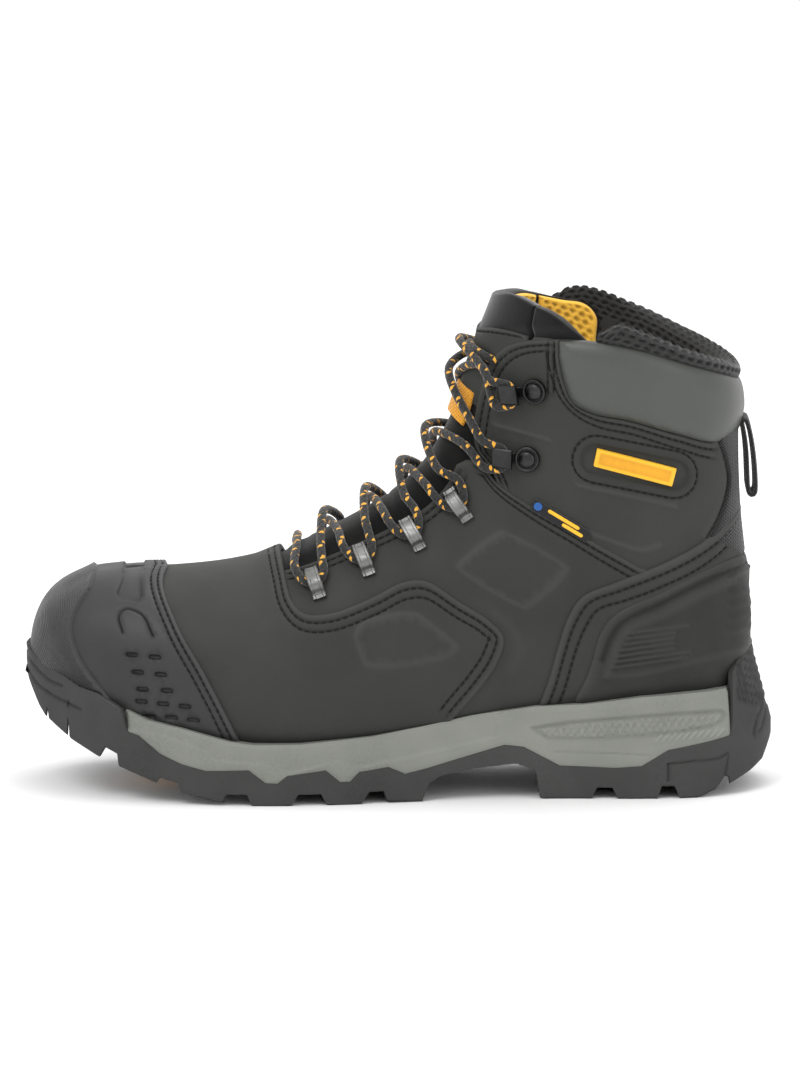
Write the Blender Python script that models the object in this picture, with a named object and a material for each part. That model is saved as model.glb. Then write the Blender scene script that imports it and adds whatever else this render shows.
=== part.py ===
"""Left safety work boot, ankle high and laced, with a steel toe cap inside.

Numbers in this file are millimetres and MM turns them into metres. The toe points to -X, the heel to +X, the
outer (lateral) side of the foot to -Y and the boot stands on z = 0.

The upper follows a last: a closed surface whose sections fan from the toe to the collar. A place on it is
(u, w, d). u runs along the boot from the toe tip, w is the girth from the top line (0) to the sole or heel
line (115, lateral side positive), and d is the height off the surface. Panel edges are drawn on a side pattern,
a plane whose height axis leans back by PATTERN_LEAN, and are carried from there onto the lateral side.
"""

import math

import bmesh
import bpy
import numpy as np
from mathutils import Matrix, Vector
from mathutils.bvhtree import BVHTree
from mathutils.geometry import delaunay_2d_cdt

MM = 0.001
NAME = "safety_boot"
PATTERN_LEAN = math.radians(10)
HALF_GIRTH = 115.0
GAP = 0.3

# Heights of the layers off the last.
LINING = 2.2
ROOM = 2.4
BOARD_LOW, BOARD_HIGH = -2.0, -0.3
UPPER_LOW = 0.6
QUARTER_HIGH = 1.9
PANEL_HIGH = 2.4
OVERLAY_LOW, OVERLAY_HIGH = 2.9, 4.3
BUMPER_HIGH = 5.2
SOLE_SEAT = 2.9
MARGIN = 0.84 * HALF_GIRTH

LACE_RADIUS = 2.0
CLIP_WIDTH = 5.4
STRIP = 1.2

# The base mesh that every layer is faceted on: rows along the last and points round it.
ROWS, ROUND = 28, 18

# top x, top z, sole x, sole z, middle, lateral half, medial half, centre y, top fullness, sole fullness
STATIONS = (
    (-149.3, 50.0, -149.3, 50.0, 0.50, 0.0, 0.0, 8.0, 2.2, 2.2),
    (-149.8, 59.0, -147.2, 43.0, 0.50, 14.0, 14.0, 8.0, 2.2, 2.2),
    (-147.8, 68.0, -143.0, 37.5, 0.50, 23.5, 23.5, 7.5, 2.3, 2.4),
    (-142.0, 77.5, -136.0, 32.5, 0.52, 32.0, 31.5, 7.0, 2.4, 2.6),
    (-131.0, 83.8, -125.0, 28.0, 0.58, 38.5, 38.0, 6.0, 2.5, 2.8),
    (-115.0, 86.8, -109.0, 24.0, 0.62, 43.5, 43.0, 4.5, 2.5, 3.0),
    (-92.0, 88.4, -86.0, 20.5, 0.66, 48.0, 47.5, 2.5, 2.3, 3.2),
    (-68.0, 92.0, -60.0, 18.5, 0.70, 50.5, 49.5, 0.5, 2.1, 3.2),
    (-45.0, 98.5, -34.0, 18.5, 0.70, 50.5, 47.5, -0.5, 2.0, 3.2),
    (-22.0, 109.5, -8.0, 20.5, 0.71, 47.5, 43.5, -1.0, 1.95, 3.2),
    (-3.0, 121.0, 20.0, 23.5, 0.71, 42.5, 39.5, -0.5, 1.95, 3.2),
    (9.0, 131.5, 52.0, 27.0, 0.69, 38.5, 37.0, 0.0, 2.0, 3.2),
    (17.0, 142.5, 92.0, 30.0, 0.65, 35.5, 35.0, 0.0, 2.1, 3.2),
    (23.0, 154.0, 132.0, 36.0, 0.60, 34.0, 34.0, 0.0, 2.1, 3.0),
    (27.5, 166.0, 143.0, 60.0, 0.55, 33.5, 33.5, 0.0, 2.1, 2.6),
    (31.5, 178.0, 142.5, 88.0, 0.52, 34.5, 34.5, 0.0, 2.1, 2.4),
    (35.5, 189.0, 139.5, 118.0, 0.50, 37.0, 37.0, 0.0, 2.1, 2.3),
    (39.5, 199.0, 138.5, 147.0, 0.50, 40.0, 40.0, 0.0, 2.1, 2.2),
    (44.0, 211.0, 139.5, 175.0, 0.50, 42.5, 42.5, 0.0, 2.1, 2.2),
    (48.5, 223.0, 140.5, 187.0, 0.50, 43.5, 43.5, 0.0, 2.1, 2.2),
)

# Panel edges on the side pattern, from the top line down or from the front back.
VAMP_EDGE = ((-50, 100), (-47, 86), (-44, 75), (-39, 70), (-28, 70), (-10, 77), (2, 83), (11, 83.5), (25, 75),
             (37, 67.5), (43.5, 60), (41, 50), (34, 39.5), (22, 26))
THROAT_EDGE = ((-58, 86), (-38, 91), (-18, 99.5), (-4, 106), (10, 114), (19, 123), (24, 132))
ANKLE_FRONT = ((42, 119), (38, 130), (32, 138), (30.5, 144), (31, 152), (34, 165), (38, 175), (43, 180),
               (50, 182.5), (66, 183))
ANKLE_SEAM = ((24, 132), (29, 134), (35, 131), (41, 124), (54, 115), (70, 106), (82, 99), (100, 89))
HEEL_EDGE = ((58, 31), (62, 42), (66, 56), (70, 68), (76, 77), (90, 83), (110, 91), (125, 99), (136, 108),
             (142, 116))
COUNTER_EDGE = ((73, 34.2), (79, 47), (83.5, 62), (90, 70), (110, 79.5), (130, 89.5), (146, 96))
COLLAR_TOP = ((66, 183), (80, 182), (100, 178.5), (120, 172.8), (141, 168))
COLLAR_LOW = ((66, 176), (68, 166), (72, 157), (80, 152.5), (95, 149.5), (115, 144), (132, 141), (143, 147))
STRIP_EDGE = ((128, 101), (133, 110), (137, 125), (135, 136), (133, 141))
BUMPER_EDGE = ((-125, 89), (-127, 80), (-134, 65), (-131, 53), (-122, 40), (-115, 30.5))
OVERLAY_EDGE = ((-96, 91), (-98, 82), (-91, 64), (-80, 45), (-70, 26), (-65, 16))

# Sole, in plan (x, y) and in height (x, z), from the toe to the heel.
SOLE_LATERAL = ((-156, 8), (-154.5, -6), (-149, -19), (-140, -30), (-125, -40.5), (-105, -49), (-80, -54.6),
                (-60, -56), (-40, -55.5), (-15, -52), (10, -46.5), (40, -42), (70, -40.3), (100, -40.8),
                (120, -39.3),
                (137, -33), (149, -21), (155, -8), (156, 0))
SOLE_MEDIAL = ((-156, 8), (-154.5, 21), (-149, 30), (-140, 38), (-125, 45.5), (-105, 51.5), (-80, 55.2),
               (-60, 56),
               (-40, 54), (-15, 49), (10, 43.5), (40, 39.8), (70, 39), (100, 40.2), (120, 39), (137, 33),
               (149, 21),
               (155, 8), (156, 0))
TREAD_HEIGHT = ((-156, 48), (-154, 43), (-150, 35), (-147, 31), (-139, 25.5), (-124.5, 18), (-116.5, 14.5),
                (-100.5, 9), (-90.5, 5), (-73, 1.5), (-60, 0), (10, 0), (12.5, 7.4), (18, 10.8), (34, 13.5),
                (49, 15), (57, 12), (59, 0), (125, 0), (132, 3), (139, 5.5), (148, 9), (152, 12), (156, 21))
WAIST_HEIGHT = ((-156, 50), (-150, 44), (-144, 39), (-128, 32), (-114.5, 30), (-108, 28.3), (-99, 21), (-90,
                                                                                                        17),
                (-80, 14.5), (-62, 15), (-55, 9.6), (-50, 9.4), (-46, 12.6), (-30, 14.7), (-24, 9.6), (-20,
                                                                                                       9.6),
                (-16, 13.6), (-4, 15.2), (3, 12), (12, 14), (30, 19), (44, 23), (52, 22), (67, 14), (90, 13),
                (101, 13.8), (112, 20.5), (130, 23.6), (142, 26), (156, 30))
FEATHER_HEIGHT = ((-156, 57.5), (-147, 54.5), (-140, 50.5), (-133, 46.5), (-125, 44.5), (-114.5, 38.6),
                  (-105, 34.5),
                  (-90, 31.5), (-70, 26.5), (-60, 25.2), (-40, 25.4), (-10, 28), (10, 31.2), (30, 35.2),
                  (57, 38.8),
                  (77, 39.6), (100, 42.6), (120, 44), (138.5, 44.6), (142, 51), (148, 57), (156, 58))
SOLE_ROWS = (-156, -155, -151.5, -146, -139, -130, -121, -114.5, -111.5, -104, -97, -90.5, -80, -70, -62, -54,
             -49, -44, -30, -24, -19, -14, -4, 4, 10, 12.5, 18, 34, 49, 57, 59, 67, 80, 100, 112, 125, 132,
             137.5,
             141.5, 146, 151, 155, 156)
GREY_FRONT, GREY_BACK = -112.0, 138.0
GROOVES = ((-119, 6, 4), (-95, 7, 4.5), (-67, 6, 4), (-36.5, 8, 5), (-9, 6.5, 4.5), (86, 6.5, 4.5), (112, 6,
                                                                                                     4.5))

CLIPS = (((-36.5, 89), (-32, 75)), ((-17, 99), (-11.5, 84.5)), ((2.5, 109), (9.5, 96)), ((21, 121), (29,
                                                                                                     108.5)))
HOOKS = (((53.5, 134), (41.5, 135)), ((56.5, 162), (44.5, 161.5)))


def ease(value):
    """A smooth ramp from 0 at 0 to 1 at 1."""
    value = np.clip(value, 0.0, 1.0)
    return value * value * (3 - 2 * value)


def smooth_line(points, spacing):
    """A smooth line through the points, as evenly spaced points that keep both ends."""
    points = np.array(points, float)
    padded = np.vstack((2 * points[0] - points[1], points, 2 * points[-1] - points[-2]))
    pieces = []
    for k in range(len(points) - 1):
        p0, p1, p2, p3 = padded[k : k + 4]
        near, mid, far = (max(np.linalg.norm(b - a), 1e-6) ** 0.5 for a, b in ((p0, p1), (p1, p2), (p2, p3)))
        m1 = (p2 - p1) + mid * ((p1 - p0) / near - (p2 - p0) / (near + mid))
        m2 = (p2 - p1) + mid * ((p3 - p2) / far - (p3 - p1) / (mid + far))
        t = np.linspace(0, 1, 24, endpoint=False)[:, None]
        pieces.append((2 * t**3 - 3 * t**2 + 1) * p1 + (t**3 - 2 * t**2 + t) * m1
                      + (3 * t**2 - 2 * t**3) * p2 + (t**3 - t**2) * m2)
    line = np.vstack(pieces + [points[-1:]])
    return spaced(line, spacing)


def spaced(line, spacing):
    """The line again with points about as far apart as the spacing."""
    length = np.concatenate(([0.0], np.cumsum(np.linalg.norm(np.diff(line, axis=0), axis=1))))
    count = max(int(round(length[-1] / spacing)), 1)
    want = np.linspace(0, length[-1], count + 1)
    return np.column_stack([np.interp(want, length, line[:, k]) for k in range(line.shape[1])])


class Last:
    """The surface that the upper is built on, as a fine grid of points and normals."""

    ROWS = 420
    HALF_COLUMNS = 90

    def __init__(self):
        sections = np.array([self.section(station) for station in STATIONS])
        gaps = np.linalg.norm(np.diff(sections, axis=0), axis=2).mean(axis=1)
        self.knots = np.concatenate(([0.0], np.cumsum(gaps)))
        self.length = self.knots[-1]
        rises = np.diff(sections, axis=0) / gaps[:, None, None]
        slopes = np.zeros_like(sections)
        for k in range(1, len(sections) - 1):
            slopes[k] = (rises[k] * gaps[k - 1] + rises[k - 1] * gaps[k]) / (gaps[k - 1] + gaps[k])
        across = np.roll(sections[1][:-1], self.HALF_COLUMNS, axis=0)
        slopes[0] = (sections[1] - np.vstack((across, across[:1]))) / (2 * gaps[0])
        slopes[-1] = rises[-1]
        u = np.linspace(0, self.length, self.ROWS)
        k = np.clip(np.searchsorted(self.knots, u, side="right") - 1, 0, len(gaps) - 1)
        h = gaps[k][:, None, None]
        f = (u - self.knots[k])[:, None, None] / h
        self.points = ((2 * f**3 - 3 * f**2 + 1) * sections[k] + (f**3 - 2 * f**2 + f) * h * slopes[k]
                       + (3 * f**2 - 2 * f**3) * sections[k + 1] + (f**3 - f**2) * h * slopes[k + 1])
        self.normals = self.find_normals()
        self.side_tree = self.tree(2.0)

    def section(self, station):
        """One section's points, from the sole line over the medial side, the top and the lateral side."""
        top_x, top_z, sole_x, sole_z, middle, lateral, medial, centre, top_full, sole_full = station
        top = np.array((top_x, top_z))
        sole = np.array((sole_x, sole_z))
        mid = top + (sole - top) * middle
        angle = np.linspace(0.0, math.pi, 361)
        along, out = np.cos(angle), np.sin(angle)
        power = 2 / np.where(along > 0, top_full, sole_full)
        reach = np.abs(along)[:, None] ** power[:, None]
        flat = mid + np.where((along > 0)[:, None], reach * (top - mid), reach * (sole - mid))
        halves = []
        for width in (-lateral, medial):
            line = np.column_stack((flat[:, 0], centre + width * np.abs(out) ** power, flat[:, 1]))
            if lateral == 0.0:
                halves.append(np.repeat(line[:1], self.HALF_COLUMNS + 1, axis=0))
                continue
            length = np.concatenate(([0.0], np.cumsum(np.linalg.norm(np.diff(line, axis=0), axis=1))))
            want = np.linspace(0, length[-1], self.HALF_COLUMNS + 1)
            halves.append(np.column_stack([np.interp(want, length, line[:, k]) for k in range(3)]))
        return np.concatenate((halves[1][::-1], halves[0][1:]))

    def find_normals(self):
        along = np.gradient(self.points, axis=0)
        ring = np.concatenate((self.points[:, -2:-1], self.points, self.points[:, 1:2]), axis=1)
        normals = np.cross(ring[:, 2:] - ring[:, :-2], along)
        normals /= np.maximum(np.linalg.norm(normals, axis=2, keepdims=True), 1e-9)
        normals[0] = (-1.0, 0.0, 0.0)
        return normals

    def tree(self, height):
        points = (self.points + height * self.normals).reshape(-1, 3)
        wide = self.points.shape[1]
        faces = []
        for row in range(self.ROWS - 1):
            for column in range(wide - 1):
                a = row * wide + column
                faces.append((a, a + 1, a + wide + 1, a + wide))
        return BVHTree.FromPolygons(points.tolist(), faces)

    def place(self, u, w, height=0.0):
        """World points, in millimetres, at (u, w) and at a height off the surface."""
        u, w = np.atleast_1d(np.asarray(u, float)), np.atleast_1d(np.asarray(w, float))
        w = (w + HALF_GIRTH) % (2 * HALF_GIRTH) - HALF_GIRTH
        row = np.clip(u / self.length * (self.ROWS - 1), 0, self.ROWS - 1 - 1e-6)
        column = np.clip((w / HALF_GIRTH + 1) * self.HALF_COLUMNS, 0, 2 * self.HALF_COLUMNS - 1e-6)
        i, j = row.astype(int), column.astype(int)
        a, b = (row - i)[:, None], (column - j)[:, None]

        def blend(grid):
            return ((1 - a) * ((1 - b) * grid[i, j] + b * grid[i, j + 1])
                    + a * ((1 - b) * grid[i + 1, j] + b * grid[i + 1, j + 1]))

        normal = blend(self.normals)
        normal /= np.maximum(np.linalg.norm(normal, axis=1, keepdims=True), 1e-9)
        return blend(self.points) + np.reshape(height, (-1, 1)) * normal

    def normal(self, u, w):
        return (self.place(u, w, 1.0) - self.place(u, w, 0.0))[0]

    def from_pattern(self, points):
        """(u, w) on the lateral side for points (x, height) of the side pattern."""
        rise = Vector((0, math.sin(PATTERN_LEAN), math.cos(PATTERN_LEAN)))
        into = Vector((0, math.cos(PATTERN_LEAN), -math.sin(PATTERN_LEAN)))
        wide = self.points.shape[1]
        found = []
        for x, height in points:
            start = Vector((x, 0, 0)) + rise * height - into * 300
            hit, _, index, _ = self.side_tree.ray_cast(start, into)
            if hit is None:
                found.append(self.on_outline(x, height))
                continue
            row, column = divmod(index, wide - 1)
            found.append(self.refine(hit, row, column))
        return np.array(found)

    def refine(self, hit, row, column):
        """The (u, w) of a point on one face of the raised surface."""
        cell = (slice(row, row + 2), slice(column, column + 2))
        lifted = self.points[cell] + 2.0 * self.normals[cell]
        origin, across, along = lifted[0, 0], lifted[0, 1] - lifted[0, 0], lifted[1, 0] - lifted[0, 0]
        offset = np.array(hit) - origin
        b = float(np.clip(offset @ across / max(across @ across, 1e-9), 0, 1))
        a = float(np.clip(offset @ along / max(along @ along, 1e-9), 0, 1))
        u = (row + a) / (self.ROWS - 1) * self.length
        return u, ((column + b) / self.HALF_COLUMNS - 1) * HALF_GIRTH

    def on_outline(self, x, height):
        """The place on the top line or the heel line that is nearest to a pattern point off the surface."""
        best = None
        for column, w in ((self.HALF_COLUMNS, 0.0), (2 * self.HALF_COLUMNS, HALF_GIRTH)):
            line = self.points[:, column] + 2.0 * self.normals[:, column]
            level = line[:, 1] * math.sin(PATTERN_LEAN) + line[:, 2] * math.cos(PATTERN_LEAN)
            far = np.hypot(line[:, 0] - x, level - height)
            row = int(np.argmin(far))
            if best is None or far[row] < best[0]:
                best = (far[row], row / (self.ROWS - 1) * self.length, w)
        return best[1], best[2]

    def on_top(self, x):
        """u on the top line at this x."""
        line = self.points[:, self.HALF_COLUMNS, 0]
        start = int(np.argmin(line))
        return float(np.interp(x, line[start:], np.linspace(0, self.length, self.ROWS)[start:]))


LAST = Last()
STEP = LAST.length / ROWS
CROSS = 2 * HALF_GIRTH / ROUND


def on_facets(points, height):
    """World points at (u, w) and at a height off the base mesh, whose rows are staggered by half a facet."""
    height = np.broadcast_to(height, len(points))[:, None]
    along = np.clip(points[:, 0] / STEP, 0, ROWS - 1e-9)
    row = along.astype(int)
    a = along - row
    shift = 0.5 * (row % 2)
    s = points[:, 1] / CROSS - shift - 0.5 * a
    j = np.floor(s)
    t = s - j
    upright = t < 1 - a
    total = 0.0
    for rows, columns, weights in (
        (row, j + shift, np.where(upright, 1 - a - t, 0.0)),
        (row, j + 1 + shift, np.where(upright, t, 1 - a)),
        (row + 1, j + 0.5 + shift, np.where(upright, a, 1 - t)),
        (row + 1, j + 1.5 + shift, np.where(upright, 0.0, t + a - 1)),
    ):
        base = LAST.place(rows * STEP, columns * CROSS)
        normal = LAST.place(rows * STEP, columns * CROSS, 1.0) - base
        total = total + weights[:, None] * (base + height * normal)
    return total


def edge(points, loose=0.25):
    """A drawn edge of the side pattern, as (u, w) points on the last."""
    line = LAST.from_pattern(smooth_line(points, 2.0))
    line[:, 1] = np.clip(line[:, 1], 0.0, HALF_GIRTH)
    on_top = np.flatnonzero(line[:, 1] == 0.0)
    if len(on_top):
        line = line[on_top[-1] :] if on_top[0] == 0 else line[: on_top[0] + 1]
    return thinned(line, loose)


def thinned(line, loose):
    """The line with only the points that keep it within this distance of its first shape."""
    run = line[-1] - line[0]
    share = np.clip((line - line[0]) @ run / max(run @ run, 1e-9), 0, 1)
    far = np.linalg.norm(line - line[0] - share[:, None] * run, axis=1)
    k = int(np.argmax(far))
    if len(line) < 3 or far[k] < loose:
        return line[[0, -1]]
    return np.vstack((thinned(line[: k + 1], loose), thinned(line[k:], loose)[1:]))


def mirrored(line):
    """The same edge on the medial side, for pieces that cross the top line."""
    return np.column_stack((line[:, 0], -line[:, 1]))


def round_heel(line):
    """The same edge on the medial side, for pieces that cross the heel line."""
    return np.column_stack((line[:, 0], 2 * HALF_GIRTH - line[:, 1]))


def join(*lines):
    """One outline from lines and points, without repeated points."""
    points = np.vstack([np.atleast_2d(np.asarray(line, float)) for line in lines])
    keep = [points[0]]
    for point in points[1:]:
        if np.linalg.norm(point - keep[-1]) > 0.3:
            keep.append(point)
    if np.linalg.norm(keep[0] - keep[-1]) < 0.3:
        keep.pop()
    return np.array(keep)


def area(outline):
    x, y = outline[:, 0], outline[:, 1]
    return 0.5 * float(np.sum(x * np.roll(y, -1) - np.roll(x, -1) * y))


def widened(outline, amount):
    """The outline moved outward by an amount, or inward where it is negative."""
    sign = 1.0 if area(outline) > 0 else -1.0
    back = outline - np.roll(outline, 1, axis=0)
    ahead = np.roll(outline, -1, axis=0) - outline
    turned = []
    for side in (back, ahead):
        side = side / np.maximum(np.linalg.norm(side, axis=1, keepdims=True), 1e-9)
        turned.append(np.column_stack((side[:, 1], -side[:, 0])) * sign)
    mean = turned[0] + turned[1]
    mean /= np.maximum(np.linalg.norm(mean, axis=1, keepdims=True), 1e-9)
    lean = np.maximum(np.sum(mean * turned[0], axis=1, keepdims=True), 0.5)
    return outline + amount * mean / lean


def distance(points, outline):
    """How far each point is from the outline, below zero inside it."""
    a, b = outline, np.roll(outline, -1, axis=0)
    run = b - a
    offset = points[:, None, :] - a[None]
    t = np.clip(np.sum(offset * run, axis=2) / np.maximum(np.sum(run * run, axis=1), 1e-9), 0, 1)
    far = np.linalg.norm(offset - t[..., None] * run[None], axis=2).min(axis=1)
    straddle = (a[None, :, 1] > points[:, None, 1]) != (b[None, :, 1] > points[:, None, 1])
    rise = np.where(np.abs(run[:, 1]) < 1e-12, 1e-12, run[:, 1])
    cross = a[None, :, 0] + (points[:, None, 1] - a[None, :, 1]) * run[None, :, 0] / rise[None]
    inside = (straddle & (points[:, None, 0] < cross)).sum(axis=1) % 2 == 1
    return np.where(inside, -far, far)


def base_mesh(outline):
    """The base mesh's points and edges round an outline, in the (u, w) plane."""
    low, high = outline.min(axis=0), outline.max(axis=0)
    rows = range(max(math.floor(low[0] / STEP), 0), min(math.ceil(high[0] / STEP), ROWS) + 1)
    columns = range(math.floor(low[1] / CROSS) - 1, math.ceil(high[1] / CROSS) + 2)
    index = {(row, column): k for k, (row, column) in enumerate((r, c) for r in rows for c in columns)}
    points = [(row * STEP, (column + 0.5 * (row % 2)) * CROSS) for row, column in index]
    lines = []
    for row, column in index:
        for other in ((row, column + 1), (row + 1, column), (row + 1, column + (1 if row % 2 else -1))):
            if other in index:
                lines.append((index[row, column], index[other]))
    return points, lines


def heights(rule, points):
    return rule(points) if callable(rule) else np.full(len(points), float(rule))


def triangles(outline, minus, ridges):
    """Triangles of the outline less the other outlines, in (u, w), none across an edge of the base mesh."""
    corners, lines = base_mesh(outline)
    for ridge in ridges:
        lines += [(len(corners) + k, len(corners) + k + 1) for k in range(len(ridge) - 1)]
        corners += ridge.tolist()
    loops = []
    for ring in (outline, *minus):
        ring = ring if area(ring) > 0 else ring[::-1]
        loops.append(list(range(len(corners), len(corners) + len(ring))))
        corners += ring.tolist()
    result = delaunay_2d_cdt([Vector(c) for c in corners], lines, loops, 0, 1e-4, True)
    flat = np.array([tuple(v) for v in result[0]])
    faces = [tuple(face) for face, inside in zip(result[2],
                                                 result[5]) if inside and 0 in inside and len(inside) == 1]
    return flat, faces


def closes(a, b):
    """Whether an edge lies on the toe tip or on the sole line, where the surface meets itself."""
    on_tip = max(a[0], b[0]) < 1e-3
    on_line = abs(abs(a[1]) - HALF_GIRTH) < 1e-3 and abs(a[1] - b[1]) < 1e-3
    return on_tip or on_line


def panel(name, outline, low, high, minus=(), ridges=(), seam=False):
    """A shell piece between two heights off the last, cut to an outline."""
    flat, faces = triangles(outline, minus, ridges)
    used = sorted({corner for face in faces for corner in face})
    index = {corner: k for k, corner in enumerate(used)}
    flat = flat[used]
    faces = [tuple(index[c] for c in face) for face in faces]
    inner = on_facets(flat, heights(low, flat))
    outer = on_facets(flat, heights(high, flat))
    count = len(flat)
    solid = [tuple(c + count for c in face) for face in faces] + [face[::-1] for face in faces]
    sides = {}
    for face in faces:
        for a, b in zip(face, face[1:] + face[:1]):
            sides[(a, b)] = True
    for a, b in sides:
        if (b, a) not in sides and not (seam and closes(flat[a], flat[b])):
            solid.append((a, b, b + count, a + count))
    return add_mesh(name, np.vstack((inner, outer)), solid)


def add_mesh(name, points, faces):
    """A closed mesh object from points in millimetres, with its faces turned outward."""
    mesh = bpy.data.meshes.new(name)
    mesh.from_pydata((np.asarray(points) * MM).tolist(), [], faces)
    mesh.shade_smooth()
    build = bmesh.new()
    build.from_mesh(mesh)
    bmesh.ops.remove_doubles(build, verts=build.verts, dist=0.02 * MM)
    bmesh.ops.dissolve_degenerate(build, dist=0.005 * MM, edges=build.edges)
    bmesh.ops.triangulate(build, faces=build.faces)
    bmesh.ops.recalc_face_normals(build, faces=build.faces)
    if build.calc_volume(signed=True) < 0:
        bmesh.ops.reverse_faces(build, faces=build.faces)
    build.to_mesh(mesh)
    build.free()
    mesh.set_sharp_from_angle(angle=math.radians(35))
    obj = bpy.data.objects.new(name, mesh)
    PARTS.objects.link(obj)
    return obj


def finish(obj, colour, roughness, metallic=0.0):
    """Gives a part its own material."""
    material = bpy.data.materials.new(obj.name + "_material")
    material.use_nodes = True
    shader = material.node_tree.nodes["Principled BSDF"]
    shader.inputs["Base Color"].default_value = (*colour, 1.0)
    shader.inputs["Roughness"].default_value = roughness
    shader.inputs["Metallic"].default_value = metallic
    material.diffuse_color = (*colour, 1.0)
    obj.data.materials.append(material)
    return obj


def clear_scene():
    for obj in list(bpy.data.objects):
        bpy.data.objects.remove(obj)


def collection(name, cutters=False):
    made = bpy.data.collections.new(name)
    bpy.context.scene.collection.children.link(made)
    made.hide_render = cutters
    return made


clear_scene()
PARTS = collection(NAME)
CUTTERS = collection(NAME + "_cutters", cutters=True)

LEATHER = (0.045, 0.046, 0.042)
SMOOTH_LEATHER = (0.085, 0.09, 0.082)
RUBBER = (0.028, 0.028, 0.028)
GREY = (0.26, 0.27, 0.245)
YELLOW = (0.85, 0.40, 0.03)
ORANGE = (0.85, 0.22, 0.02)
STEEL = (0.45, 0.45, 0.44)
GUNMETAL = (0.16, 0.16, 0.165)
CLOTH = (0.02, 0.02, 0.021)


# ---------------------------------------------------------------- outlines on the last

VAMP = edge(VAMP_EDGE)
THROAT = edge(THROAT_EDGE)
HEEL = edge(HEEL_EDGE)
COUNTER = edge(COUNTER_EDGE)
SEAM_LINE = edge(ANKLE_SEAM)
FRONT_LINE = edge(ANKLE_FRONT)
TIP_RING = 26.0
HEEL_CORNER = float(LAST.knots[13])


SOLE_LATERAL_FINE = smooth_line(SOLE_LATERAL, 1.5)
SOLE_MEDIAL_FINE = smooth_line(SOLE_MEDIAL, 1.5)


def both_sides(half):
    """A closed outline from a lateral half that starts on the top line."""
    return join(half, mirrored(half)[::-1])


def both_heel_sides(half):
    """A closed outline from a lateral half that starts on the heel line."""
    return join(half, round_heel(half)[::-1])


def seam_points(u0, u1):
    """The ends of a stretch of the sole line, where a shell closes on itself."""
    return np.array(((u0, HALF_GIRTH), (u1, HALF_GIRTH)), float)


TIP_EDGE = np.array(((0.0, HALF_GIRTH), (0.0, 0.0)))

VAMP_OUTLINE = both_sides(join((VAMP[0][0], 0.0), VAMP, (VAMP[-1][0], MARGIN), (TIP_RING + 8, MARGIN),
                               seam_points(TIP_RING, 0.0), TIP_EDGE))
HEEL_OUTLINE = both_heel_sides(join((HEEL[-1][0], HALF_GIRTH), HEEL[::-1], (HEEL[0][0], MARGIN),
                                    (HEEL_CORNER - 22, MARGIN), (HEEL_CORNER - 6, HALF_GIRTH)))
TONGUE_FRONT = LAST.on_top(-62)
HINGE_U = LAST.on_top(35.0)
WING_W = 52.0
RIM_U = LAST.knots[18] - 1.0


def throat_w(u):
    """Girth of the throat's edge at each u, which the tongue reaches past by TUCK."""
    line = np.vstack((THROAT, FRONT_LINE))
    order = np.argsort(line[:, 0])
    return np.interp(u, line[order, 0], line[order, 1])


TUCK = 9.0


def tongue_half():
    """The lateral half of the tongue's outline, from its front on the top line to its upper end there."""
    rows = np.linspace(TONGUE_FRONT + 10, HINGE_U - 14, 16)
    side = [(u, throat_w(u) + TUCK) for u in rows]
    start = [(TONGUE_FRONT, 0.0), (TONGUE_FRONT, 22.0)]
    return join(start, side, (HINGE_U - 4, WING_W), (RIM_U - 8, WING_W), (RIM_U - 5, WING_W - 5),
                (RIM_U - 1.5, 41.0), (RIM_U - 2, 33.0), (HINGE_U + 6, 31.0), (HINGE_U - 1.0, 29.0),
                (HINGE_U - 1.0, 0.0))


FLAP_OUTLINE = both_sides(join((HINGE_U + 1.2, 0.0), (HINGE_U + 1.2, 22.0), (HINGE_U + 8, 23.5),
                               (RIM_U - 11, 23.0),
                               (RIM_U - 6, 17.0), (RIM_U - 4, 8.0), (RIM_U - 4, 0.0)))
TONGUE_OUTLINE = both_sides(tongue_half())

STIFFENER_OUTLINE = both_heel_sides(join((HEEL_CORNER + 78, HALF_GIRTH), (HEEL_CORNER + 74, 104.0),
                                         (HEEL_CORNER + 40, 84.0), (HEEL_CORNER - 20, 62.0),
                                         (HEEL_CORNER - 42, 70.0),
                                         (HEEL_CORNER - 42, 80.0), (HEEL_CORNER - 6, 92.0),
                                         (HEEL_CORNER + 2, HALF_GIRTH)))
BOARD_OUTLINE = both_heel_sides(join((HEEL_CORNER - 6, HALF_GIRTH), (HEEL_CORNER - 14, 96.0),
                                     (HEEL_CORNER - 26, 88.0),
                                     (150.0, 84.0), (62.0, 85.0), (40.0, 90.0), (32.0, HALF_GIRTH)))
CAP_END = 66.0
CAP_OUTLINE = both_sides(join((CAP_END, 0.0), (CAP_END, 62.0), (CAP_END - 6, 78.0), (44.0, 80.0), (30.0,
                                                                                                   84.0),
                              (24.0, 98.0), seam_points(22.0, 0.0), TIP_EDGE))


def room(points):
    """How deep the lining steps in to make room for the toe cap, the heel stiffener and the insole board."""
    wrapped = points.copy()
    wrapped[:, 1] = (wrapped[:, 1] + 2 * HALF_GIRTH) % (2 * HALF_GIRTH)
    toe = ease((CAP_END + 15 - points[:, 0]) / 9)
    share = toe
    for outline in (STIFFENER_OUTLINE, BOARD_OUTLINE):
        share = np.maximum(share, ease((14 - distance(wrapped, outline)) / 9))
    return ROOM * share


def lining_high(points):
    return -room(points)


def lining_low(points):
    return -room(points) - LINING


def rim_edge():
    """The top edge of the leather round the collar, from the ankle panel's front back to the heel line."""
    return edge(COLLAR_TOP)


COLLAR_EDGE = rim_edge()
COLLAR_BACK = (COLLAR_EDGE[-1][0], HALF_GIRTH)
COLLAR_FRONT = edge(COLLAR_LOW)


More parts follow.
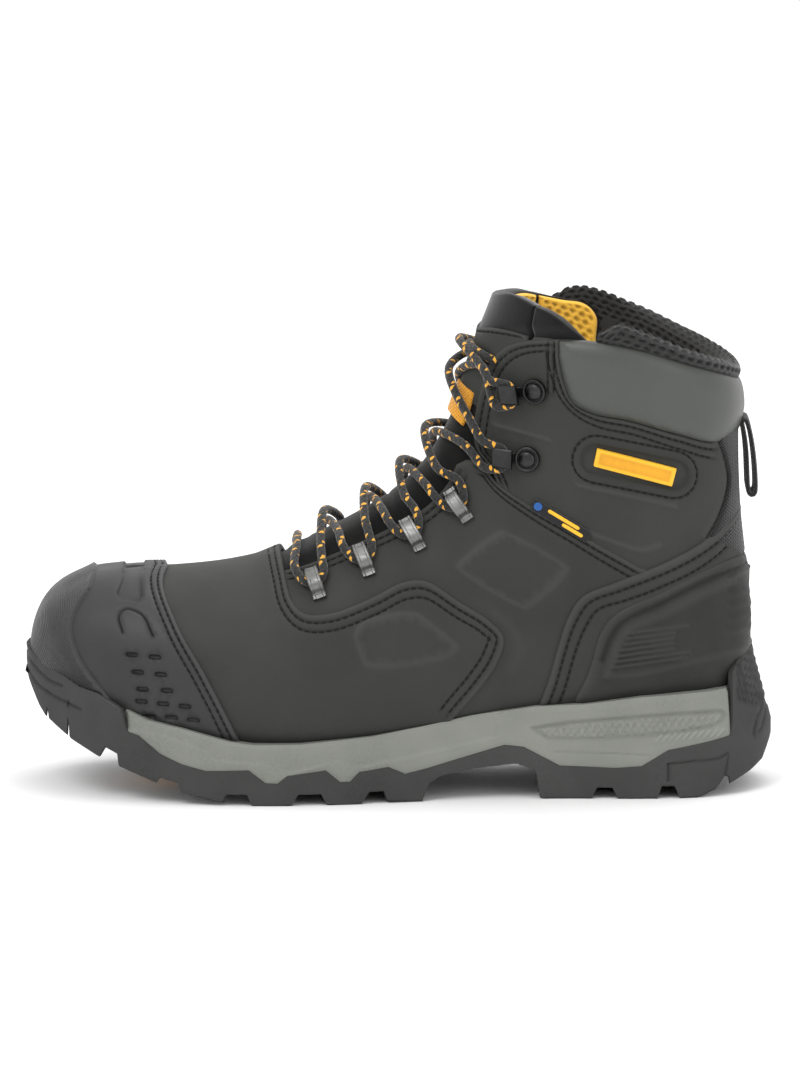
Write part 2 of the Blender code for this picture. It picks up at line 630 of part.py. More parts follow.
def wrap(points):
    """The points with w counted from the top line round the lateral side, past the heel line."""
    wrapped = points.copy()
    wrapped[:, 1] = wrapped[:, 1] % (2 * HALF_GIRTH)
    return wrapped


COLLAR_OUTLINE = both_heel_sides(join(COLLAR_BACK, COLLAR_EDGE[::-1], COLLAR_FRONT, (COLLAR_FRONT[-1][0],
                                                                                     HALF_GIRTH)))
STRIP_SIDE = edge(STRIP_EDGE)
STRIP_OUTLINE = both_heel_sides(join((STRIP_SIDE[-1][0] + 4, HALF_GIRTH), STRIP_SIDE[-1] + (4, 0),
                                     STRIP_SIDE[::-1],
                                     (HEEL[-1][0] - 14, STRIP_SIDE[0][1]), (HEEL[-1][0] - 14, HALF_GIRTH)))
QUARTER_OUTLINE = join((VAMP[0][0] - 8, 20.0), THROAT, SEAM_LINE, SEAM_LINE[-1] + (4, 6), (HEEL[0][0] + 6,
                                                                                           88.0),
                       (HEEL[0][0] + 6, MARGIN), (VAMP[-1][0] - 8, MARGIN), (VAMP[-1][0] - 8, 70.0),
                       (VAMP[0][0] - 8, 34.0))
BESIDE_COLLAR = COLLAR_FRONT[COLLAR_FRONT[:, 1] < STRIP_SIDE[-1][1] - 2]
ANKLE_OUTLINE = join(FRONT_LINE, BESIDE_COLLAR, STRIP_SIDE[-1] + (6, 0), STRIP_SIDE[::-1],
                     STRIP_SIDE[0] + (-14, 4),
                     SEAM_LINE[-1] + (-4, 6), edge(((80, 92), (42, 119))))


def puff(points):
    """The padded collar's height, full in the middle and thin at its edges."""
    return PANEL_HIGH + 2.6 * ease(-distance(wrap(points), COLLAR_OUTLINE) / 9)


def cleared(outline, amount=0.4):
    return widened(outline, amount)


def upper_shell():
    """The leather panels, which meet edge to edge with a small gap."""
    finish(panel("vamp", VAMP_OUTLINE, UPPER_LOW, QUARTER_HIGH, seam=True), LEATHER, 0.6)
    finish(panel("heel_panel", HEEL_OUTLINE, UPPER_LOW, PANEL_HIGH), LEATHER, 0.6)
    finish(panel("collar_pad", COLLAR_OUTLINE, UPPER_LOW, puff), SMOOTH_LEATHER, 0.45)
    finish(panel("back_strip", STRIP_OUTLINE, UPPER_LOW, 3.2, minus=[cleared(HEEL_OUTLINE),
                                                                     cleared(COLLAR_OUTLINE)]),
           CLOTH, 0.8)
    for side, sign in (("lateral", 1), ("medial", -1)):
        rings = (HEEL_OUTLINE, COLLAR_OUTLINE, STRIP_OUTLINE)
        behind = [cleared(ring) - (0, 0 if sign > 0 else 2 * HALF_GIRTH) for ring in rings]
        quarter = panel("quarter_" + side, QUARTER_OUTLINE * (1, sign), UPPER_LOW, QUARTER_HIGH,
                        minus=[cleared(VAMP_OUTLINE), behind[0]])
        finish(quarter, LEATHER, 0.6)
        ankle = panel("ankle_panel_" + side, ANKLE_OUTLINE * (1, sign), UPPER_LOW, QUARTER_HIGH,
                      minus=[cleared(QUARTER_OUTLINE) * (1, sign), *behind])
        finish(ankle, LEATHER, 0.6)


def overlays():
    """The raised outer pieces: toe bumper, toe overlay, heel counter, side plate and side tag."""
    bumper = edge(BUMPER_EDGE)
    bumper_outline = both_sides(join((bumper[0][0], 0.0), bumper, (bumper[-1][0], 90.0), (3.0, 90.0), (3.0,
                                                                                                       0.0)))
    overlay = edge(OVERLAY_EDGE)
    hidden = edge(((-122, 42), (-139, 55), (-142, 66), (-136, 82)))
    overlay_outline = both_sides(join((overlay[0][0], 0.0), overlay, (overlay[-1][0], 88.0), (hidden[0][0],
                                                                                              88.0),
                                      hidden, (hidden[-1][0], 0.0)))
    block = widened(bumper_outline, 0.4)
    rim = cutter(strip_solid("rim_block", (-162, *SOLE_ROWS, 162), 75, lambda x: -5, rim_top))
    toe = panel("toe_bumper", bumper_outline, OVERLAY_LOW, BUMPER_HIGH)
    cut(toe, rim)
    finish(toe, RUBBER, 0.5)
    moulded = panel("toe_overlay", overlay_outline, OVERLAY_LOW, OVERLAY_HIGH, minus=[block])
    cut(moulded, rim)
    finish(moulded, LEATHER, 0.5)
    counter = COUNTER
    counter_outline = both_heel_sides(join((counter[-1][0], HALF_GIRTH), counter[::-1], (counter[0][0], 96.0),
                                           (HEEL_CORNER - 4, 100.0), (HEEL_CORNER - 4, HALF_GIRTH)))

    def counter_high(points):
        wrapped = points.copy()
        wrapped[:, 1] = wrapped[:, 1] % (2 * HALF_GIRTH)
        return OVERLAY_LOW + 0.7 + 1.0 * ease(-distance(wrapped, counter_outline) / 8)

    back = panel("heel_counter", counter_outline, OVERLAY_LOW, counter_high)
    cut(back, rim)
    finish(back, RUBBER, 0.55)
    finish(panel("side_plate", stadium((97.6, 130.6), 35, 9.5, -12), OVERLAY_LOW - 0.4, OVERLAY_LOW + 0.7),
           YELLOW, 0.4)
    finish(panel("side_tag", stadium((68, 109.5), 25, 5.5, -30), OVERLAY_LOW - 0.4, OVERLAY_LOW + 0.4),
           YELLOW, 0.5)


def stadium(centre, length, width, tilt):
    """A round-ended bar on the side pattern, as (u, w)."""
    radius = width / 2
    angle = math.radians(tilt)
    points = []
    for turn, end in ((-90, 1), (90, -1)):
        for k in range(7):
            a = math.radians(turn + 30 * k)
            x = end * (length / 2 - radius) + radius * math.cos(a)
            y = radius * math.sin(a)
            points.append((centre[0] + x * math.cos(angle) - y * math.sin(angle),
                           centre[1] + x * math.sin(angle) + y * math.cos(angle)))
    return LAST.from_pattern(points)


def inside_parts():
    """Lining, collar roll, tongue, toe cap, stiffener, insole board, shank and footbed."""
    collar_u = COLLAR_EDGE[:, 0]
    collar_w = COLLAR_EDGE[:, 1]

    def leather_top(w):
        return np.interp(w, collar_w, collar_u)

    ws = np.linspace(HALF_GIRTH, WING_W + 1.0, 7)
    top = np.column_stack((leather_top(ws) - 0.3, ws))
    side = [(HINGE_U - 4, WING_W + 0.8)]
    rows = np.linspace(HINGE_U - 14, TONGUE_FRONT + 10, 16)
    side += [(u, throat_w(u) + TUCK + 0.8) for u in rows]
    lining_half = join((top[0][0], HALF_GIRTH), top, side, (TONGUE_FRONT - 0.8, 22.0), (TONGUE_FRONT - 0.8,
                                                                                        0.0))
    lining_outline = join(lining_half, mirrored(lining_half)[::-1], (top[0][0], -HALF_GIRTH),
                          seam_points(top[0][0], 0.0) * (1, -1), mirrored(TIP_EDGE),
                          TIP_EDGE[::-1], seam_points(0.0, top[0][0]))
    finish(panel("lining", lining_outline, lining_low, lining_high, seam=True), CLOTH, 0.9)

    roll_low = np.column_stack((leather_top(ws) + 0.4, ws))
    crest = np.column_stack((leather_top(ws) + 5 + 5 * (HALF_GIRTH - ws) / (HALF_GIRTH - WING_W), ws))
    roll_outline = both_heel_sides(join(roll_low, crest[::-1]))

    def roll_high(points):
        return 2.0 + 2.2 * ease(-distance(wrap(points), roll_outline) / 5)

    def roll_in(points):
        return -2.6 - 2.0 * ease(-distance(wrap(points), roll_outline) / 6)

    finish(panel("collar_roll", roll_outline, roll_in, roll_high), CLOTH, 0.9)

    tongue = TONGUE_OUTLINE

    def tongue_high(points):
        folded = points * 1.0
        folded[:, 1] = np.abs(folded[:, 1])
        rings = (VAMP_OUTLINE, QUARTER_OUTLINE, ANKLE_OUTLINE, COLLAR_OUTLINE)
        free = np.min([distance(folded, ring) for ring in rings], axis=0)
        return -0.2 + 1.8 * ease((free - 1.2) / 7)

    finish(panel("tongue", tongue, -2.6, tongue_high), CLOTH, 0.85)
    finish(panel("tongue_top", FLAP_OUTLINE, -2.8, tongue_high), CLOTH, 0.85)
    finish(panel("steel_toe_cap", CAP_OUTLINE, -2.0, -0.3, seam=True), STEEL, 0.35, 1.0)
    finish(panel("heel_stiffener", STIFFENER_OUTLINE, -2.0, -0.3), (0.5, 0.45, 0.36), 0.7)
    board_block = [widened(STIFFENER_OUTLINE, 0.4)]
    finish(panel("insole_board", BOARD_OUTLINE, BOARD_LOW, BOARD_HIGH, minus=board_block), (0.45, 0.33,
                                                                                            0.2), 0.8)
    shank_outline = np.array(((150, 107), (150, 123), (238, 122), (238, 108)), float)
    finish(panel("shank", shank_outline, UPPER_LOW, UPPER_LOW + 1.6), STEEL, 0.4, 1.0)
    bed = both_heel_sides(join((HEEL_CORNER - 10, HALF_GIRTH), (HEEL_CORNER - 16, 100), (HEEL_CORNER - 30,
                                                                                         91),
                               (170, 87), (140, 88), (70, 90), (46, 96), (34, HALF_GIRTH)))
    low = -ROOM - LINING - 0.5

    def bed_top(points):
        return low - 3.2 - 1.6 * ease((points[:, 0] - 170) / 60)

    finish(panel("footbed", bed, bed_top, low), (0.08, 0.08, 0.085), 0.9)


def sole_edges(row_x):
    """Lateral and medial edge points of the sole and their inward directions at each row."""
    found = []
    for line, turn in ((SOLE_LATERAL_FINE, 1.0), (SOLE_MEDIAL_FINE, -1.0)):
        y = np.interp(row_x, line[:, 0], line[:, 1])
        run = np.gradient(line, axis=0)
        run /= np.linalg.norm(run, axis=1, keepdims=True)
        inward = np.column_stack((-run[:, 1], run[:, 0])) * turn
        inward = np.column_stack([np.interp(row_x, line[:, 0], inward[:, k]) for k in range(2)])
        inward[0] = (1.0, 0.0) if row_x[0] < -155.9 else inward[0]
        inward[-1] = (-1.0, 0.0)
        found.append((np.column_stack((row_x, y)), inward))
    return found


def sole_solid(name, low, high, inset, levels, start=-156, columns=4):
    """A closed block over the sole's plan between two heights, given at each row along the boot."""
    row_x = np.array([x for x in SOLE_ROWS if x >= start], float)
    (lateral, in_lateral), (medial, in_medial) = sole_edges(row_x)
    bottom, top = low(row_x), high(row_x)
    rings = []
    for level in levels:
        z = bottom + (top - bottom) * level
        move = inset(row_x, z, level)[:, None]
        rings.append((lateral + move * in_lateral, medial + move * in_medial, z))
    points, index = [], {}

    def corner(key, value):
        if key not in index:
            index[key] = len(points)
            points.append(value)
        return index[key]

    def at(row, column, ring):
        left, right, z = rings[ring]
        share = column / columns
        flat = left[row] + (right[row] - left[row]) * share
        return corner((row, column, ring), (flat[0], flat[1], z[row]))

    faces = []
    last = len(levels) - 1
    for row in range(len(row_x) - 1):
        for column in range(columns):
            near, far = (row, column), (row + 1, column + 1)
            faces.append((at(*near, 0), at(row + 1, column, 0), at(*far, 0), at(row, column + 1, 0)))
            faces.append((at(row, column, last), at(row, column + 1, last), at(row + 1, column + 1, last),
                          at(row + 1, column, last)))
        for ring in range(last):
            for column in (0, columns):
                faces.append((at(row, column, ring), at(row + 1, column, ring), at(row + 1, column, ring + 1),
                              at(row, column, ring + 1)))
    for row in (0, len(row_x) - 1):
        for ring in range(last):
            for column in range(columns):
                faces.append((at(row, column, ring), at(row, column + 1, ring), at(row, column + 1, ring + 1),
                              at(row, column, ring + 1)))
    return add_mesh(name, points, faces)


def profile(points):
    xs, zs = zip(*points)
    return lambda x: np.interp(x, xs, zs)


TREAD = profile(TREAD_HEIGHT)
WAIST = profile(WAIST_HEIGHT)
FEATHER = profile(FEATHER_HEIGHT)


def shell_only(x):
    """1 where the outsole covers the midsole's side, at the toe and the heel, and 0 between."""
    return np.maximum(ease((GREY_FRONT - x) / 3.5), ease((x - GREY_BACK) / 3.5))


def heel_lean(x, z):
    return 8.0 * ease((x - 122) / 34) * np.clip((z - 27) / 31, 0, 1)


def rim_top(x):
    """The height that the overlays end at, just above the sole's top edge."""
    return FEATHER(x - 2.5 * ease((-95 - x) / 15) + 9 * ease((x - 126) / 18)) + GAP


def cutter(obj):
    PARTS.objects.unlink(obj)
    CUTTERS.objects.link(obj)
    obj.display_type = "WIRE"
    return obj


def cut(obj, tool, operation="DIFFERENCE"):
    modifier = obj.modifiers.new(tool.name, "BOOLEAN")
    modifier.operation = operation
    modifier.solver = "EXACT"
    modifier.object = tool


def blocks(name, boxes):
    """Several separate boxes in one mesh, each given by its eight corners."""
    points, faces = [], []
    for corners in boxes:
        base = len(points)
        points.extend(corners)
        faces += [tuple(base + k for k in face) for face in
                  ((0, 3, 2, 1), (4, 5, 6, 7), (0, 1, 5, 4), (1, 2, 6, 5), (2, 3, 7, 6), (3, 0, 4, 7))]
    return add_mesh(name, points, faces)


def box(x0, x1, y0, y1, low, high):
    """Corners of a block along x whose underside and top follow two height rules."""
    corners = []
    for rule in (low, high):
        for x, y in ((x0, y0), (x1, y0), (x1, y1), (x0, y1)):
            corners.append((x, y, float(rule(x))))
    return corners


CHANNEL_Y = 15.0
CHANNELS = (("tread_insert_forefoot", -110, 2, 10), ("tread_insert_heel", 68, 128, 5))
CHANNEL_DEEP = 5.5


def sole():
    """Outsole, midsole and the coloured tread inserts in the outsole's centre channels."""
    def outsole_inset(x, z, level):
        return heel_lean(x, z) + (1.2 if level == 0 else 0.0)

    def outsole_high(x):
        over = shell_only(x)
        return WAIST(x) * (1 - over) + FEATHER(x) * over

    def midsole_inset(x, z, level):
        return heel_lean(x, z) + 0.5 + 3.2 * shell_only(x)

    def well_inset(x, z, level):
        return heel_lean(x, z) - 2.0 + 5.4 * shell_only(x)

    outsole = sole_solid("outsole", TREAD, outsole_high, outsole_inset, (0, 0.15, 0.55, 1))
    def midsole_high(x):
        return FEATHER(np.minimum(x, 138.5))

    def well_high(x):
        return np.where(x > 139, midsole_high(x) + GAP, FEATHER(x) + 30)

    midsole = sole_solid("midsole", lambda x: WAIST(x) + GAP, midsole_high, midsole_inset, (0, 0.5, 1),
                         start=-147)
    well = cutter(sole_solid("outsole_well", WAIST, well_high, well_inset, (0, 1)))
    foot = cutter(solid_last("foot_room", SOLE_SEAT))
    cut(midsole, foot)
    cut(outsole, well)
    cut(outsole, foot)
    grooves = [box(x - width / 2, x + width / 2, -70, 70, lambda v: TREAD(v) - 4, lambda v,
                   d=deep: TREAD(v) + d)
               for x, width, deep in GROOVES]
    for name, x0, x1, count in CHANNELS:
        xs = np.linspace(x0, x1, max(count * 2, 8))
        channel = cutter(strip_solid(name + "_channel", xs, CHANNEL_Y, lambda v: TREAD(v) - 4,
                                     lambda v: TREAD(v) + CHANNEL_DEEP))
        cut(outsole, channel)
        insert = insert_solid(name, x0 + 1, x1 - 1, count)
        finish(insert, ORANGE, 0.6)
    cut(outsole, cutter(blocks("tread_grooves", grooves)))
    finish(outsole, RUBBER, 0.7)
    finish(midsole, GREY, 0.55)


def strip_solid(name, xs, half_width, low, high):
    points, faces = [], []
    for x in xs:
        for y, rule in ((-half_width, low), (half_width, low), (half_width, high), (-half_width, high)):
            points.append((x, y, float(rule(x))))
    for k in range(len(xs) - 1):
        for side in range(4):
            a, b = k * 4 + side, k * 4 + (side + 1) % 4
            faces.append((a, b, b + 4, a + 4))
    faces += [(0, 1, 2, 3), tuple(len(points) - 4 + k for k in (3, 2, 1, 0))]
    return add_mesh(name, points, faces)


def insert_solid(name, x0, x1, count):
    """A thin plate against the channel's roof with a row of lugs under it, as one comb-shaped solid."""
    pitch = (x1 - x0) / count
    stations = []
    for k in range(count):
        start = x0 + k * pitch
        stations += [(start, False), (start + 0.25 * pitch, False), (start + 0.25 * pitch + 0.01, True),
                     (start + 0.75 * pitch, True), (start + 0.75 * pitch + 0.01, False)]
    stations.append((x1, False))
    xs = [x for x, _ in stations]
    deep = {x: (1.0 if lug else CHANNEL_DEEP - 2.0) for x, lug in stations}
    half = CHANNEL_Y - 2.0
    return strip_solid(name, xs, half, lambda x: TREAD(x) + deep[x], lambda x: TREAD(x) + CHANNEL_DEEP - GAP)


def solid_last(name, height, rows=23):
    """The last itself, grown by a height and closed off above the ankle."""
    end_u = rows * STEP
    outline = np.array(((0, -HALF_GIRTH), (end_u, -HALF_GIRTH), (end_u, HALF_GIRTH), (0, HALF_GIRTH)))
    flat, faces = triangles(outline, (), ())
    points = on_facets(flat, heights(height, flat))
    on_end = (np.abs(flat[:, 0] - end_u) < 1e-3) & (flat[:, 1] < HALF_GIRTH - 1e-3)
    end = np.flatnonzero(on_end).tolist()
    faces.append(tuple(sorted(end, key=lambda k: flat[k, 1])))
    return add_mesh(name, points, faces)


# ---------------------------------------------------------------- lacing hardware

def unit(vector):
    return vector / max(float(np.linalg.norm(vector)), 1e-9)


def band(name, path, across, width, thick, closed=False):
    """A flat strip of even width that follows a path, with mitred bends."""
    path = np.asarray(path, float)
    across = unit(np.asarray(across, float))
    count = len(path)
    points, faces = [], []
    for k in range(count):
        before = path[k] - path[k - 1] if k or closed else path[1] - path[0]
        after = path[(k + 1) % count] - path[k] if k < count - 1 or closed else before
        first = unit(np.cross(unit(before), across))
        second = unit(np.cross(unit(after), across))
        out = unit(first + second)
        out = out / max(float(out @ first), 0.5)
        for side, height in ((-1, -1), (1, -1), (1, 1), (-1, 1)):
            points.append(path[k] + across * side * width / 2 + out * height * thick / 2)
    for k in range(count if closed else count - 1):
        for side in range(4):
            a, b = k * 4 + side, k * 4 + (side + 1) % 4
            c, d = ((k + 1) % count) * 4 + (side + 1) % 4, ((k + 1) % count) * 4 + side
            faces.append((a, b, c, d))
    if not closed:
        faces += [(3, 2, 1, 0), tuple(4 * (count - 1) + side for side in range(4))]
    return add_mesh(name, points, faces)


class Mount:
    """A spot on the upper with three directions: up the fitting's line, across it and off the surface."""

    def __init__(self, low, high, sign):
        ends = LAST.from_pattern((low, high)) * (1, sign)
        self.low, self.high = ends
        self.low_point, self.high_point = LAST.place(ends[:, 0], ends[:, 1])
        self.length = float(np.linalg.norm(self.high_point - self.low_point))
        self.frame(0.5)

    def frame(self, share):
        u, w = self.low + (self.high - self.low) * share
        self.origin = LAST.place(u, w)[0]
        self.out = unit(LAST.normal(u, w))
        line = self.high_point - self.low_point
        self.up = unit(line - self.out * (line @ self.out))
        forward = LAST.place(u + 1, w)[0] - LAST.place(u - 1, w)[0]
        self.side = unit(np.cross(self.up, self.out))
        self.side = self.side if self.side @ forward > 0 else -self.side

    def along(self, profile_points):
        """World points for (distance from the low end, height off the last)."""
        spots = []
        for far, height in profile_points:
            u, w = self.low + (self.high - self.low) * far / self.length
            spots.append(LAST.place(u, w, height)[0])
        return spots

    def at(self, up, side, height):
        return self.origin + self.up * up + self.side * side + self.out * height


CLIP_SHAPE = ((-7.6, 2.9), (-5.2, 2.9), (-3.9, 7.7), (3.5, 7.7), (5.2, 2.9), (7.6, 2.9))
HOOK_SHAPE = ((-4.6, 2.9), (8.8, 2.9), (12.4, 3.8), (13.6, 6.3), (12.4, 8.9), (4.6, 9.4))
SIDES = (("lateral", 1), ("medial", -1))


def clip_mount(k, sign):
    high, low = CLIPS[k]
    return Mount(low, high, sign)


def hook_mount(k, sign):
    rivet, front = HOOKS[k]
    mount = Mount(rivet, front, sign)
    mount.frame(0.0)
    return mount


def lacing_hardware():
    """Four closed loops and two riveted hooks up each side of the throat."""
    for side, sign in SIDES:
        for k in range(len(CLIPS)):
            mount = clip_mount(k, sign)
            path = mount.along([(mount.length / 2 + far, height) for far, height in CLIP_SHAPE])
            finish(band(f"lace_loop_{side}_{k + 1}", path, mount.side, CLIP_WIDTH, STRIP), GUNMETAL, 0.35,
                   1.0)
        for k in range(len(HOOKS)):
            mount = hook_mount(k, sign)
            finish(band(f"lace_hook_{side}_{k + 1}", mount.along(HOOK_SHAPE), mount.side, 5.0, STRIP),
                   GUNMETAL,
                   0.35, 1.0)
            finish(disc(f"hook_rivet_{side}_{k + 1}", mount, 4.0, 3.9, 5.3), GUNMETAL, 0.3, 1.0)


def disc(name, mount, radius, low, high, count=16):
    """A low domed rivet head over a mount."""
    points, faces = [], []
    for share, height in ((1.0, low), (1.0, (low + high) / 2), (0.6, high)):
        for k in range(count):
            angle = 2 * math.pi * k / count
            points.append(mount.at(radius * share * math.cos(angle), radius * share * math.sin(angle),
                                   height))
    for ring in range(2):
        for k in range(count):
            a, b = ring * count + k, ring * count + (k + 1) % count
            faces.append((a, b, b + count, a + count))
    faces += [tuple(range(count - 1, -1, -1)), tuple(range(2 * count, 3 * count))]
    return add_mesh(name, points, faces)


# ---------------------------------------------------------------- lace

CROSS_X = (-27, -9, 7, 19, 29.5)
LACE_LOW, LACE_OVER, LACE_SIDE = 4.5, 9.0, 5.6


def clip_turn(k, sign):
    """The lace's turn under a loop, in from the toe side and out on the heel side."""
    mount = clip_mount(k, sign)
    turn = ((9.0, -6.2, 4.9), (3.4, -5.0, 4.7), (-0.1, -2.7, 4.6), (-0.9, 0.0, 4.6), (-0.1, 2.7, 4.6),
            (3.4, 5.0, 4.7), (9.0, 5.6, 4.9))
    return [mount.at(*spot) for spot in turn]


def hook_turn(k, sign):
    """The lace's turn behind a hook's neck, in from below and out above."""
    mount = hook_mount(k, sign)
    turn = ((19.5, -7.8, 5.3), (14.0, -6.2, 5.8), (10.4, -4.4, 5.9), (8.7, 0.0, 5.9), (10.4, 4.4, 5.9),
            (14.0, 6.2, 5.8), (19.5, 7.4, 5.4))
    return [mount.at(*spot) for spot in turn]


def over_tongue(k, off):
    return LAST.place(LAST.on_top(CROSS_X[k]), 0.0, off)[0]


def shoulder(k, sign, after, off=LACE_SIDE):
    """A lace point between a crossing and the fittings beside it."""
    x = CROSS_X[k] + (3.5 if after else -3.5)
    return LAST.place(LAST.on_top(x), 13.0 * sign, off)[0]


def lace_half(first):
    """One half of the lace from the bar at the throat's foot to its tip, starting on one side."""
    path = [LAST.place(LAST.on_top(-41), 9.0 * first, LACE_LOW)[0]]
    sign = first
    for k in range(5):
        path += clip_turn(k, sign) if k < 4 else hook_turn(0, sign)
        over = (k % 2 == 0) == (first > 0)
        rise = 6.4 if over else LACE_SIDE
        path += [shoulder(k, sign, False, rise), over_tongue(k, LACE_OVER if over else LACE_LOW),
                 shoulder(k, -sign, True, rise)]
        sign = -sign
    path += hook_turn(1, sign)
    over = first < 0
    top = HINGE_U
    route = ((top - 10, 13.0, 6.4 if over else LACE_SIDE), (top - 7, 0.0, LACE_OVER if over else LACE_LOW),
             (top - 5, -14.0, 6.0 if over else LACE_SIDE), (top - 1, -25.5, 5.4), (top + 11, -28.8, 5.2),
             (top + 21, -29.0, 4.9), (top + 27, -28.0, 3.4), (top + 29.5, -27.5, 0.2), (top + 29, -27.3,
                                                                                        -3.6),
             (top + 24, -27.0, -7.0), (top + 13, -26.6, -8.4), (top, -26.2, -8.8))
    path += [LAST.place(u, w * sign, off)[0] for u, w, off in route]
    return path


def bend_points(line, straight=6.0, turned=15.0):
    """A smooth line thinned to points that lie closer together where it bends."""
    fine = smooth_line(line, 0.5)
    kept = [0]
    run = np.diff(fine, axis=0)
    run /= np.maximum(np.linalg.norm(run, axis=1, keepdims=True), 1e-9)
    swing, far = 0.0, 0.0
    for k in range(1, len(run)):
        swing += math.degrees(math.acos(float(np.clip(run[k] @ run[k - 1], -1, 1))))
        far += 0.5
        if swing > turned * 2 or far > straight * 2:
            kept.append(k)
            swing, far = 0.0, 0.0
    return fine[kept + [len(fine) - 1]]


def tube(name, points, radius):
    curve = bpy.data.curves.new(name, "CURVE")
    curve.dimensions = "3D"
    curve.bevel_depth = radius * MM
    curve.bevel_resolution = 1
    curve.use_fill_caps = True
    spline = curve.splines.new("POLY")
    spline.points.add(len(points) - 1)
    for target, point in zip(spline.points, points):
        target.co = (*(np.asarray(point) * MM), 1.0)
    obj = bpy.data.objects.new(name, curve)
    PARTS.objects.link(obj)
    return obj


LACE_LINE = lace_half(1)[::-1] + lace_half(-1)


def lace():
    """The lace in one length with its two stiff tips, tucked inside the shaft beside the tongue."""
    finish(tube("lace", bend_points(LACE_LINE), LACE_RADIUS), CLOTH, 0.8)
    for side, ends in (("lateral", (LACE_LINE[0], LACE_LINE[1])), ("medial", (LACE_LINE[-1], LACE_LINE[-2]))):
        end, before = (np.asarray(point) for point in ends)
        way = unit(end - before)
        tip = tube("lace_tip_" + side, [end + way * (GAP + 0.1), end + way * 12], LACE_RADIUS * 0.9)
        finish(tip, CLOTH, 0.3)


PULL_AXIS = (145.4, 0.0, 151.0)
PULL_PATH = ((145.4, 151.4), (144.2, 148.6), (143.7, 143), (143.4, 135), (143.4, 126.4), (144.4, 122.6),
             (146.6, 121.4), (148.8, 122.6), (149.8, 126.4), (149.8, 134), (149.2, 142), (147.4, 148.6))


def loops():
    """The hanging pull loop at the heel and the small webbing keeper on the tongue."""
    pull = band("pull_loop", [(x, 0.0, z) for x, z in PULL_PATH], (0, 1, 0), 17.0, 1.4, closed=True)
    origin = Vector(PULL_AXIS) * MM
    pull.data.transform(Matrix.Translation(-origin))
    pull.location = origin
    finish(pull, CLOTH, 0.85)
    u0, u1 = LAST.on_top(24.0), LAST.on_top(27.6)
    keeper = np.array(((u0, -4.5), (u1, -4.5), (u1, 4.5), (u0, 4.5)), float)
    finish(panel("tongue_keeper", keeper, 2.3, 3.2), YELLOW, 0.8)


def flap_origin():
    """The tongue top's hinge line: level, across the boot, in the middle of the tongue's thickness."""
    point = LAST.place(HINGE_U, 0.0, -0.4)[0]
    flap = bpy.data.objects["tongue_top"]
    origin = Vector((point[0], 0.0, point[2])) * MM
    flap.data.transform(Matrix.Translation(-origin))
    flap.location = origin


upper_shell()
overlays()
inside_parts()
sole()
lacing_hardware()
lace()
loops()
flap_origin()
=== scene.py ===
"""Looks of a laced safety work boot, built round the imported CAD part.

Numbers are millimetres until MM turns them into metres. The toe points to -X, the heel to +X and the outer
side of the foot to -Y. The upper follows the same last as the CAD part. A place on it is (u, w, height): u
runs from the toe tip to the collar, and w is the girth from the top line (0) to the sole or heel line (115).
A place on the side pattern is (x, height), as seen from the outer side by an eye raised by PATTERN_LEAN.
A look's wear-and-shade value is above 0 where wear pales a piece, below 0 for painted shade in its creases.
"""
import math

import bmesh
import bpy
import numpy as np
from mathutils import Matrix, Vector
from mathutils.bvhtree import BVHTree
from mathutils.geometry import delaunay_2d_cdt
from mathutils.kdtree import KDTree


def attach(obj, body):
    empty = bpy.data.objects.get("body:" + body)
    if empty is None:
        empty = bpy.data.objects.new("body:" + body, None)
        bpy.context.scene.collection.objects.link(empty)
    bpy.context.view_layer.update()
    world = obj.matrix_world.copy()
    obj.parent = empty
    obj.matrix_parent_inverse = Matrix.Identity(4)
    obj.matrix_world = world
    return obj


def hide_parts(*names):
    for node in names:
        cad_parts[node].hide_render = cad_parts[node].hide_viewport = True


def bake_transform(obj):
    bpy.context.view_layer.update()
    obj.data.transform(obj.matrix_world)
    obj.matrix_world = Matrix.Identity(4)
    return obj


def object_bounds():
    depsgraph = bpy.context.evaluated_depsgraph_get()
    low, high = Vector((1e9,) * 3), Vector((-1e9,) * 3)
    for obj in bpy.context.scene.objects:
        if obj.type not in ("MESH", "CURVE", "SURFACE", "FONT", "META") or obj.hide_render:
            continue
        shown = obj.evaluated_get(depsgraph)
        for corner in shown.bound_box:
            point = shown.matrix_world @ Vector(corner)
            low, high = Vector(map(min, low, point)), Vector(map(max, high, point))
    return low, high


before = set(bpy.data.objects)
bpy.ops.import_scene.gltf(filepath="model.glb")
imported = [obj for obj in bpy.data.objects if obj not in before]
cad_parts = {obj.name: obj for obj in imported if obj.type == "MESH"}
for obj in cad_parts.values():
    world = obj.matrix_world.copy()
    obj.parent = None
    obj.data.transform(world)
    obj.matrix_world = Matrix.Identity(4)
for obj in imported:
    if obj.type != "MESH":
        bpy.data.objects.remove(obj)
CAD_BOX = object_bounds()

MM = 0.001
PATTERN_LEAN = math.radians(10)
HALF_GIRTH = 115.0
MARGIN = 0.84 * HALF_GIRTH
SIDES = (("lateral", 1), ("medial", -1))

